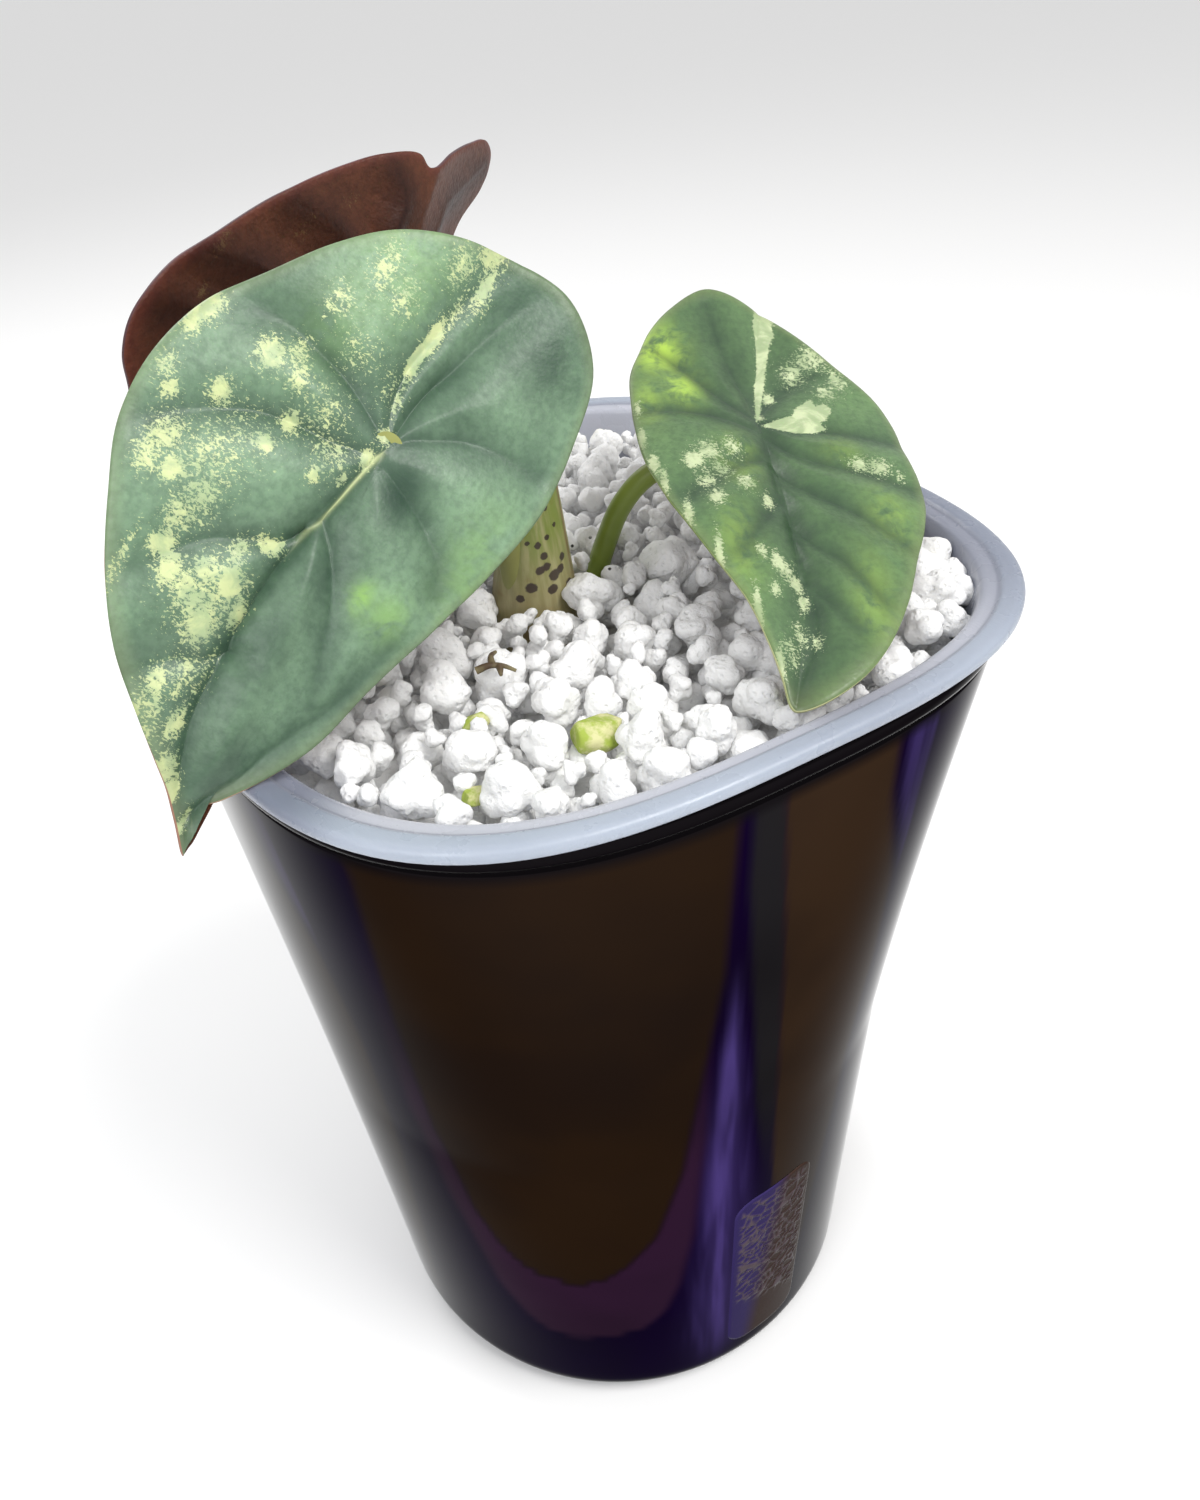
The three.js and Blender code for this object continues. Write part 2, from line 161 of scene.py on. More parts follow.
# %% A class for finishes
class Finish(Recipe):
    """A recipe for a material. Most methods give back an output socket."""

    def place(self):
        return self.add("ShaderNodeTexCoord").outputs["Object"]

    def number(self, name):
        """Reads a number that is stored on the mesh's points."""
        return self.add("ShaderNodeAttribute", attribute_name=name).outputs["Fac"]

    def step(self, value, low, high, below=0.0, above=1.0):
        """A soft step: one value below low, another above high."""
        limits = {"From Min": low, "From Max": high, "To Min": below, "To Max": above}
        node = self.add("ShaderNodeMapRange", {"Value": value, **limits}, interpolation_type="SMOOTHSTEP")
        return node.outputs["Result"]

    def mix(self, mask, first, second):
        """The first colour where the mask is 0, the second where it is 1."""
        node = self.add("ShaderNodeMix", {"Factor": mask}, data_type="RGBA")
        tones = [socket for socket in node.inputs if socket.type == "RGBA"]
        for socket, value in zip(tones, (first, second)):
            self.feed(socket, value)
        return [socket for socket in node.outputs if socket.type == "RGBA"][0]

    def noise(self, vector, scale, detail=4, roughness=0.55, distortion=0.0):
        inputs = {"Vector": vector, "Scale": scale, "Detail": detail, "Roughness": roughness}
        return self.add("ShaderNodeTexNoise", {**inputs, "Distortion": distortion}).outputs["Fac"]

    def cells(self, vector, scale):
        """Distance to the nearest of many random seeds."""
        return self.add("ShaderNodeTexVoronoi", {"Vector": vector, "Scale": scale}).outputs["Distance"]

    def stretched(self, vector, scale):
        return self.add("ShaderNodeMapping", {"Vector": vector, "Scale": scale}).outputs[0]

    def bump(self, height, strength, distance):
        inputs = {"Height": height, "Strength": strength, "Distance": distance}
        return self.add("ShaderNodeBump", inputs).outputs[0]

    def surface(self, inputs):
        """Feeds the material's Principled shader."""
        principled = self.tree.nodes["Principled BSDF"]
        for key, value in inputs.items():
            self.feed(principled.inputs[key], value)


def new_material(name):
    material = bpy.data.materials.new(name)
    material.use_nodes = True
    return material, Finish(material.node_tree)


print("a finish can also:", public_names(Finish))

# %% [markdown]
# ## Light and floor
# Product light is soft: a pale world fills the shadows, one lamp from the right in front grazes
# the leaves and so shows their quilting, and two weaker ones open the shadows and edges.
# The Standard view keeps colours as they are mixed.

# %% Floor, world and lamps
scene.view_settings.view_transform = "Standard"
world = bpy.data.worlds.new("studio")
scene.world = world
world.use_nodes = True
sky = world.node_tree.nodes["Background"]
sky.inputs["Color"].default_value = (1, 1, 1, 1)
sky.inputs["Strength"].default_value = 0.74


def soft_lamp(name, place, target, size, watts, color=(1, 1, 1)):
    data = bpy.data.lights.new(name, "AREA")
    data.shape = "DISK"
    data.size = size
    data.energy = watts
    data.color = color
    lamp = bpy.data.objects.new(name, data)
    lamp.location = place
    lamp.rotation_euler = (Vector(target) - Vector(place)).to_track_quat("-Z", "Y").to_euler()
    scene.collection.objects.link(lamp)


soft_lamp("key", (0.26, -0.5, 0.9), (0, 0, 0.17), 0.5, 6, (1, 0.99, 0.97))
soft_lamp("fill", (-0.6, -0.4, 0.7), (0, 0, 0.15), 0.5, 2.6, (0.97, 0.98, 1))
soft_lamp("rim", (-0.1, 0.7, 0.8), (0, 0, 0.15), 0.4, 2.2)

floor_finish, recipe = new_material("pale_floor")
recipe.surface({"Base Color": (0.95, 0.95, 0.95), "Roughness": 0.9})
bpy.ops.mesh.primitive_plane_add(size=60)
floor = bpy.context.object
floor.name = "floor"
floor.data.materials.append(floor_finish)
floor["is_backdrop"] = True

# %% [markdown]
# ## From numbers to a mesh
# Most forms here are rows of points, so one helper turns points and faces into a smooth mesh
# whose object stays at the origin. The sizes are in millimetres and are scaled on the way in.
# Another ties a finished piece to the frame: its body and the solid it replaces.

# %% A mesh from points
MM = 0.001


def mesh_piece(name, points, faces, finishes=(), face_finish=None, smooth=True):
    mesh = bpy.data.meshes.new(name)
    mesh.from_pydata((np.asarray(points, float) * MM).tolist(), [], faces)
    for finish in finishes:
        mesh.materials.append(finish)
    if face_finish is not None:
        mesh.polygons.foreach_set("material_index", np.asarray(face_finish, np.int32))
    mesh.polygons.foreach_set("use_smooth", [smooth] * len(mesh.polygons))
    mesh.validate()
    piece = bpy.data.objects.new(name, mesh)
    scene.collection.objects.link(piece)
    return piece


def rings_to_faces(ring_count, segments):
    """Faces of stacked rings, with a pole at either end, all pointing out."""
    faces = []
    last = 1 + ring_count * segments
    top = last - segments
    for k in range(segments):
        n = (k + 1) % segments
        faces.append((0, 1 + n, 1 + k))
        for ring in range(ring_count - 1):
            a = 1 + ring * segments
            b = a + segments
            faces.append((a + k, a + n, b + n, b + k))
        faces.append((top + k, top + n, last))
    return faces


print("faces of two rings of eight points:", len(rings_to_faces(2, 8)))


# %% Helpers for a finished piece
def triangles(piece):
    return sum(len(p.vertices) - 2 for p in piece.data.polygons)


def tie(piece, node):
    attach(piece, "root")
    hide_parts(node)
    print(piece.name, "triangles:", triangles(piece))


def set_number(piece, name, values):
    """Stores one number per point, which a material can read."""
    attribute = piece.data.attributes.new(name, "FLOAT", "POINT")
    attribute.data.foreach_set("value", np.asarray(values, np.float32))


def point_array(piece):
    """A piece's points in millimetres."""
    spots = np.empty(len(piece.data.vertices) * 3, np.float32)
    piece.data.vertices.foreach_get("co", spots)
    return spots.reshape(-1, 3) / MM


def soft_step(low, high, value):
    t = np.clip((value - low) / (high - low), 0, 1)
    return t * t * (3 - 2 * t)


def bell(distance, width):
    """1 at no distance, fading to 0 in a smooth curve."""
    return np.exp(-((distance / width) ** 2))


print("a soft step at its middle:", soft_step(0, 1, 0.5), "a bell at its width:", round(bell(1, 1), 2))


# %% [markdown]
# ## The two pots
# Both pots are lofts: a list of levels, each a squared circle with a half width, a height and a
# power. Power 2 is a circle and power 3 is nearly a square with round corners, so the outer pot
# goes from round at the foot to squared at the rim. The list runs up the outside, over the lip
# and down the inside, so the wall has its true thickness and the shell is closed.

# %% Sizes of the pots, in millimetres
HEIGHT = 168
RIM_HALF = 63
RIM_POWER = 3.1
DEPTH_RATIO = 1.025
FLANGE_UNDER = 165.8
BODY_TOP = 165.5
FOOT_EDGE = 6.5
WALL = 2
LINER_FLOOR = 30


def body_half(z):
    t = (z - FOOT_EDGE) / (BODY_TOP - FOOT_EDGE)
    return 50.5 + 11.4 * t - 1.6 * t * (1 - t)


def body_power(z):
    t = z / BODY_TOP
    return 2.02 + 0.85 * np.maximum(0, t * (2 * t - 1))


def liner_half(z):
    flare = min(max((z - 138) / 26, 0), 1)
    slope = (z - LINER_FLOOR) / (HEIGHT - LINER_FLOOR)
    return 44 + 12 * slope + 1.5 * flare * flare * (3 - 2 * flare)


def liner_power(z):
    return 2.05 + 1.05 * (z / HEIGHT) ** 3


print("outer pot across, foot and lip:", 2 * body_half(FOOT_EDGE), 2 * round(body_half(BODY_TOP), 1))


# %% Squared rings and the loft
def squared_ring(half, z, power, segments=192, ratio=DEPTH_RATIO, x=0, y=0):
    angle = np.arange(segments) * 2 * math.pi / segments
    c, s = np.cos(angle), np.sin(angle)
    reach = (np.abs(c) ** power + np.abs(s) ** power) ** (-1 / power)
    return np.stack([x + half * reach * c, y + half * ratio * reach * s, np.full(segments, z)], 1)


def loft(name, levels, finish, segments=192, **place):
    rings = [squared_ring(*level, segments, **place) for level in levels]
    x, y = place.get("x", 0), place.get("y", 0)
    points = np.vstack([[[x, y, levels[0][1]]], *rings, [[x, y, levels[-1][1]]]])
    return mesh_piece(name, points, rings_to_faces(len(rings), segments), [finish])


print("a ring at the rim has", len(squared_ring(RIM_HALF, HEIGHT, RIM_POWER)), "points")

# %% [markdown]
# ## Gloss of the outer pot
# The outer pot is dark smoky plastic with a mirror-like skin. Its flat sides are painted brown-black,
# a painted reflection of a wooden table, and its own violet shows at the rounded corners and round
# the foot, where it wraps the brown in a U. A lighter brown band and a grey band are painted
# reflections, and a streaky bright violet band is a painted highlight, with a pinkish painted
# reflection past each corner. Such fields follow the height and the angle round the pot, four
# times over. They are stored on the points as numbers from 0 to 1, and the material mixes its
# tones by them.
# A metal tinted this dark mirrors its surroundings in its own colour, which plain dark plastic
# doesn't; the Specular Tint keeps the reflection dark at a slant too.

# %% Fields on the outer pot: painted reflections and highlights, and its own tones
SECTOR_START = 158


def pot_reflections_and_tones(points):
    """Masks of the pot's painted reflections and highlights and of its own plum and black bead; the angle
    is counted within each of four equal sectors.
    """
    z = points[:, 2]
    turned = (np.degrees(np.arctan2(points[:, 1], points[:, 0])) + SECTOR_START) % 90

    def after(start, soft):
        return soft_step(start - soft, start + soft, turned)

    def before(end, soft):
        return soft_step(end + soft, end - soft, turned)

    # Painted reflection: the brown field is a wooden table mirrored in the flat sides
    left = np.interp(z, [46, 47.5, 49, 52, 57, 67, 91, 123, 157], [30, 26, 22, 18.5, 15.5, 12, 9, 10.5, 14])
    right = np.interp(z, [46, 47.5, 49, 53, 62, 81, 106, 131, 164], [30, 33, 36, 40, 46, 51, 54, 57, 58])
    field = after(left, 1) * before(right, 1) * soft_step(45, 47.5, z)
    left = np.interp(z, [24, 26, 30, 40, 69, 94, 130], [28, 22, 18, 13, 7, 5, 8])
    right = np.interp(z, [24, 26, 29, 34, 43, 60, 90], [28, 36, 43, 47, 50, 53, 55])
    plum = after(left, 1.5) * before(right, 1.5)
    plum = plum * soft_step(22, 27, z) * (1 - field) * (1 - soft_step(80, 150, z))
    # Painted reflection: the side field is a lighter brown band beside each corner
    start = np.interp(z, [0, 60, 74, 124, 160], [71, 70, 69, 67, 64.5])
    end = np.interp(z, [0, 10, 35, 72, 110, 130, 150, 165], [74, 77, 81, 86, 89, 88, 83, 82])
    side = after(start, 0.6) * before(end, 1.2) * soft_step(1, 14, z)
    free = (1 - field) * (1 - side)
    # Painted reflection: a grey band near the top
    start = np.interp(z, [60, 94, 121, 147], [68, 64, 62, 60])
    grey = free * after(start, 1) * (1 - soft_step(72, 73, turned)) * soft_step(62, 100, z)
    # Painted highlight: a bright violet band
    width = np.interp(z, [20, 60, 98, 120], [5.5, 4, 2.6, 1])
    glow = free * bell(turned - 59, width) * soft_step(0, 30, z) * (1 - soft_step(108, 135, z))
    # Painted reflection: a pinkish band past each corner, merged into the painted highlight
    edge = free * soft_step(end + 1, end + 3, turned) * soft_step(60, 120, z) * 0.4
    bead = soft_step(160.7, 161.1, z)
    return dict(field=field, plum=plum, side=side, grey=grey, glow=np.maximum(glow, edge), bead=bead)


on_front = pot_reflections_and_tones(np.array([[0.0, -60.0, 100.0]]))
print("fields in the middle of the front:", {name: round(float(v[0]), 2) for name, v in on_front.items()})

# %% The outer pot's finish
# The bright violet is a painted highlight; the brown, lighter brown and grey tones are painted reflections;
# the plum and the black bead are the pot's own tones
VIOLET, GLINT_VIOLET = (0.005, 0.0014, 0.0165), (0.066, 0.042, 0.18)
POT_TONES_AND_REFLECTIONS = {
    "plum": (0.028, 0.0105, 0.028),
    "grey": (0.014, 0.013, 0.0145),
    "side": (0.032, 0.018, 0.0105),
    "field": (0.0195, 0.0105, 0.0058),
    "bead": (0.006, 0.005, 0.006),
}
SLANT_TINT = (0.495, 0.495, 0.495)


def pot_finish():
    material, recipe = new_material("glossy_pot")
    place = recipe.place()
    # Vertical streaks in the painted highlight
    glint_streaks = recipe.noise(recipe.stretched(place, (260, 260, 16)), 1, 2)
    lines = recipe.step(glint_streaks, 0.35, 0.65, 0.45, 1.3)
    glow = recipe.maths("MULTIPLY", recipe.number("glow"), lines, clamp=True)
    color = recipe.mix(glow, VIOLET, GLINT_VIOLET)
    for name, tone in POT_TONES_AND_REFLECTIONS.items():
        color = recipe.mix(recipe.number(name), color, tone)
    cloud = recipe.step(recipe.noise(place, 17, 3), 0.38, 0.66, 0, 0.45)
    recipe.surface({
        "Base Color": recipe.mix(cloud, color, POT_TONES_AND_REFLECTIONS["bead"]),
        "Metallic": 1,
        "Specular Tint": SLANT_TINT,
        "Roughness": recipe.step(recipe.noise(place, 40, 3), 0.35, 0.75, 0.03, 0.08),
        "Normal": recipe.bump(recipe.noise(place, 14, 2), 0.05, 0.002),
    })
    return material


# %% The outer pot's form
# The bead that the flange rests on: how far below the top, how far out
BEAD = [(3.9, 0), (3.6, -0.5), (3.3, -0.5), (3.0, 0.1), (2.7, 0.42), (2.2, 0.5), (1.2, 0.5),
        (0.6, 0.42), (0.2, 0.15), (0, -0.3)]


def outer_levels():
    levels = []
    for k in range(9):
        angle = math.pi / 2 * k / 8
        inset, z = FOOT_EDGE * (1 - math.sin(angle)), FOOT_EDGE * (1 - math.cos(angle))
        levels.append((body_half(FOOT_EDGE) - inset, z, body_power(FOOT_EDGE)))
    shape = [(z, 0) for z in np.linspace(8.5, BODY_TOP - 4.5, 76)]
    shape += [(BODY_TOP - down, out) for down, out in BEAD]
    shape += [(BODY_TOP, -1.7), (BODY_TOP - 0.4, -WALL)]
    shape += [(z, -WALL) for z in np.linspace(150, 9, 10)]
    levels += [(body_half(z) + out, z, body_power(z)) for z, out in shape]
    return levels + [(half, z, body_power(z)) for half, z in ((45.6, 3.2), (44, 2.5))]


outer_pot = loft("glossy_outer_pot", outer_levels(), pot_finish(), 384)
for name, values in pot_reflections_and_tones(point_array(outer_pot)).items():
    set_number(outer_pot, name, values)
tie(outer_pot, "outer_pot")

# %% [markdown]
# ## A pebbled patch
# Low on one corner the plastic rises into a small patch with a pebbled skin. It is a grid of
# points laid on the pot's own surface formula, lifted by a fraction of a millimetre inside a
# rounded outline and sunk outside it. The pebbles are cells: where the nearest two of many
# random seeds are equally far, a thin ridge rises. The ridges are painted lighter as a painted
# highlight, and one side of the patch is painted brown as a painted reflection, like the pot
# beside it.

# %% Grids on the pot
def slab(name, front, back, finish):
    """A closed piece from two grids of points that match row by row."""
    rows, columns = front.shape[:2]
    total = rows * columns
    faces = []
    for i in range(rows - 1):
        for j in range(columns - 1):
            a = i * columns + j
            b = a + columns
            faces.append((a, a + 1, b + 1, b))
            faces.append((total + a, total + b, total + b + 1, total + a + 1))
    rim = [*range(columns)] + [i * columns + columns - 1 for i in range(1, rows)]
    rim += [total - 1 - j for j in range(1, columns)] + [i * columns for i in range(rows - 2, 0, -1)]
    for a, b in zip(rim, rim[1:] + rim[:1]):
        faces.append((b, a, total + a, total + b))
    return mesh_piece(name, np.vstack([front.reshape(-1, 3), back.reshape(-1, 3)]), faces, [finish])


def on_pot(angle, z, lift):
    c, s = np.cos(angle), np.sin(angle)
    half, power = body_half(z) + lift, body_power(z)
    reach = (np.abs(c) ** power + np.abs(s) ** power) ** (-1 / power)
    return np.stack([half * reach * c, half * DEPTH_RATIO * reach * s, z], -1)


print("middle of the patch:", on_pot(math.radians(-87), 36.0, 0).round(1), "mm")


# %% The patch
def patch_finish():
    material, recipe = new_material("pebbled_gloss")
    # Painted reflection: one side of the violet patch is painted brown
    color = recipe.mix(recipe.number("warm"), (0.04, 0.028, 0.11), (0.05, 0.03, 0.024))
    smear = recipe.noise(recipe.place(), 300, 3)
    recipe.surface({
        # Painted highlight: the ridges are painted lighter
        "Base Color": recipe.mix(recipe.number("ridge"), color, (0.115, 0.088, 0.1)),
        "Metallic": 1,
        "Specular Tint": SLANT_TINT,
        "Roughness": recipe.step(smear, 0.35, 0.7, 0.08, 0.22),
    })
    return material


def pebbled_patch():
    seeds = np.random.default_rng(3).uniform((-9, -28), (9, 28), (230, 2))
    degrees, z = np.meshgrid(np.linspace(-98.5, -75.5, 90), np.linspace(6.5, 65.5, 190))
    angle = np.radians(degrees)
    # Millimetres across and up from the patch's middle
    across, up = (degrees + 87) * 0.9, z - 36
    inner_x, inner_y = np.abs(across) - 4.3, np.abs(up) - 22.5
    outside = np.hypot(np.maximum(inner_x, 0), np.maximum(inner_y, 0)) - 5
    outside += np.minimum(np.maximum(inner_x, inner_y), 0)
    gaps = np.sort(np.hypot(across[..., None] - seeds[:, 0], up[..., None] - seeds[:, 1]), axis=-1)
    net = bell(gaps[..., 1] - gaps[..., 0], 0.28)
    net *= soft_step(-1.2, -2.2, outside) * soft_step(-15, -11, up + 0.5 * across)
    lift = -0.3 + 0.5 * soft_step(0, -0.9, outside) + 0.16 * net
    piece = slab("pebbled_patch", on_pot(angle, z, lift), on_pot(angle, z, -1.0), patch_finish())
    # Masks of the painted ridge highlight and the painted brown reflection
    for name, values in (("ridge", net), ("warm", soft_step(-4, 1, across - 0.1 * up))):
        set_number(piece, name, np.tile(values.ravel(), 2))
    return piece


tie(pebbled_patch(), "outer_pot")

# %% [markdown]
# ## The inner pot
# The inner pot is milky polypropylene. Light enters it, scatters and leaves nearby, so its
# flange looks soft; subsurface scattering gives that, under a satin skin with fine scratches.
# Where the dark pot lies behind, the flange is painted darker and bluer as painted shade, with a
# painted leaf shadow on its left. A thin step on the flange catches light.

# %% The inner pot's finish
def liner_finish():
    material, recipe = new_material("milky_liner")
    place = recipe.place()
    cloud = recipe.step(recipe.noise(place, 30, 3), 0.3, 0.7, 0, 0.4)
    outer = recipe.mix(cloud, (0.37, 0.41, 0.48), (0.28, 0.32, 0.39))
    inner = recipe.mix(cloud, (0.5, 0.51, 0.57), (0.4, 0.42, 0.48))
    color = recipe.mix(recipe.number("outer_band"), inner, outer)
    # Painted shade: darker and bluer where the dark pot shows through, and a painted leaf shadow
    color = recipe.mix(recipe.number("over_dark"), color, (0.15, 0.165, 0.22))
    scratches = recipe.noise(recipe.stretched(place, (900, 120, 400)), 5, 2, 0.5)
    recipe.surface({
        "Base Color": recipe.mix(recipe.number("seam"), color, (0.17, 0.185, 0.24)),
        "Subsurface Weight": 0.35,
        "Subsurface Radius": (0.9, 0.95, 1),
        "Subsurface Scale": 0.004,
        "IOR": 1.49,
        "Roughness": recipe.step(recipe.noise(place, 160, 4), 0.35, 0.7, 0.24, 0.42),
        "Normal": recipe.bump(scratches, 0.12, 0.0004),
    })
    return material


# %% The inner pot's profile
# The flange's profile: how far in from the rim, how far up from its underside
FLANGE = [(0.7, 0), (0.3, 0.15), (0.05, 0.5), (0, 0.9), (0, 1.3), (0.1, 1.65), (0.35, 1.95), (0.8, 2.15),
          (1.3, 2.2), (2.1, 2.2), (2.5, 2.2), (2.85, 2.12), (3.1, 1.85), (3.35, 1.66), (3.7, 1.6)]


def liner_levels():
    shape = [(30, -2), (30.6, 0)] + [(z, 1.5) for z in (33, 60, 90, 120, 145, 158, 164.6)]
    levels = [(liner_half(z) + out, z, liner_power(z)) for z, out in [*shape, (FLANGE_UNDER, 2)]]
    levels += [(RIM_HALF - inset, FLANGE_UNDER + up, RIM_POWER) for inset, up in FLANGE]
    top = HEIGHT - 0.6
    shape = [(top, 1.1), (top - 0.12, 0.5), (top - 0.4, 0.15), (top - 0.9, 0)]
    shape += [(z, 0) for z in (160, 150, 135, 115, 90, 60, 34)]
    levels += [(liner_half(z) + out, z, liner_power(z)) for z, out in shape]
    return levels + [(liner_half(30) - 3, 31.5, liner_power(31.5))]


print("levels of the inner pot:", len(liner_levels()))


# %% Drain slots
def cut(piece, cutter):
    """Takes the cutter's form out of a piece and removes the cutter."""
    modifier = piece.modifiers.new("cut", "BOOLEAN")
    modifier.object = cutter
    modifier.operation = "DIFFERENCE"
    modifier.solver = "EXACT"
    graph = bpy.context.evaluated_depsgraph_get()
    piece.data = bpy.data.meshes.new_from_object(piece.evaluated_get(graph))
    piece.modifiers.clear()
    bpy.data.objects.remove(cutter)


def slot_cutter():
    """Eight bars that stand where the floor's drain slots are."""
    points, faces = [], []
    for k in range(8):
        turn = Matrix.Rotation(k * math.pi / 4, 3, "Z")
        base = len(points)
        points += [turn @ Vector((x, y, z)) for x in (15, 33) for y in (-1.5, 1.5) for z in (26, 34)]
        box = [(0, 1, 3, 2), (4, 6, 7, 5), (0, 4, 5, 1), (2, 3, 7, 6), (0, 2, 6, 4), (1, 5, 7, 3)]
        faces += [tuple(base + i for i in face) for face in box]
    return mesh_piece("slot_cutter", points, faces, smooth=False)


# %% The inner pot and its bands
def squared_share(x, y, half, power):
    """1 on a squared ring, less inside it."""
    return (np.abs(x / half) ** power + np.abs(y / (half * DEPTH_RATIO)) ** power) ** (1 / power)


inner_pot = loft("milky_inner_pot", liner_levels(), liner_finish())
cut(inner_pot, slot_cutter())
x, y, z = point_array(inner_pot).T
share = squared_share(x, y, RIM_HALF, RIM_POWER)
bearing = np.degrees(np.arctan2(y, x))
set_number(inner_pot, "outer_band", soft_step(0.945, 0.955, share))
set_number(inner_pot, "seam", 0.55 * bell(share - 0.947, 0.004) * (z > 166))
# Painted shade: darker at the right and back over the dark pot, a painted leaf shadow on the left, and a
# little darker at the front
dark = 0.75 * np.exp(-(((bearing + 25) / 30) ** 4)) + 0.2 * soft_step(20, 60, bearing)
dark += 0.85 * soft_step(-139, -150, bearing) * soft_step(-176, -165, bearing)
set_number(inner_pot, "over_dark", dark + 0.35 * bell(bearing + 80, 16))
tie(inner_pot, "inner_pot")

# %% [markdown]
# ## A leaf from its outline
# Each blade is drawn flat first: outline points along the midrib (u) and across it (v), in
# millimetres from the spot where the stalk joins. A smooth loop runs through them, and rings
# shrink from it towards the stalk. A height formula then lifts the sheet: an arch along the
# midrib, a droop to the sides, a valley at the midrib and a groove along every side vein.
# The same formula shapes the solids; here it is finer and follows the veins of the real leaf.

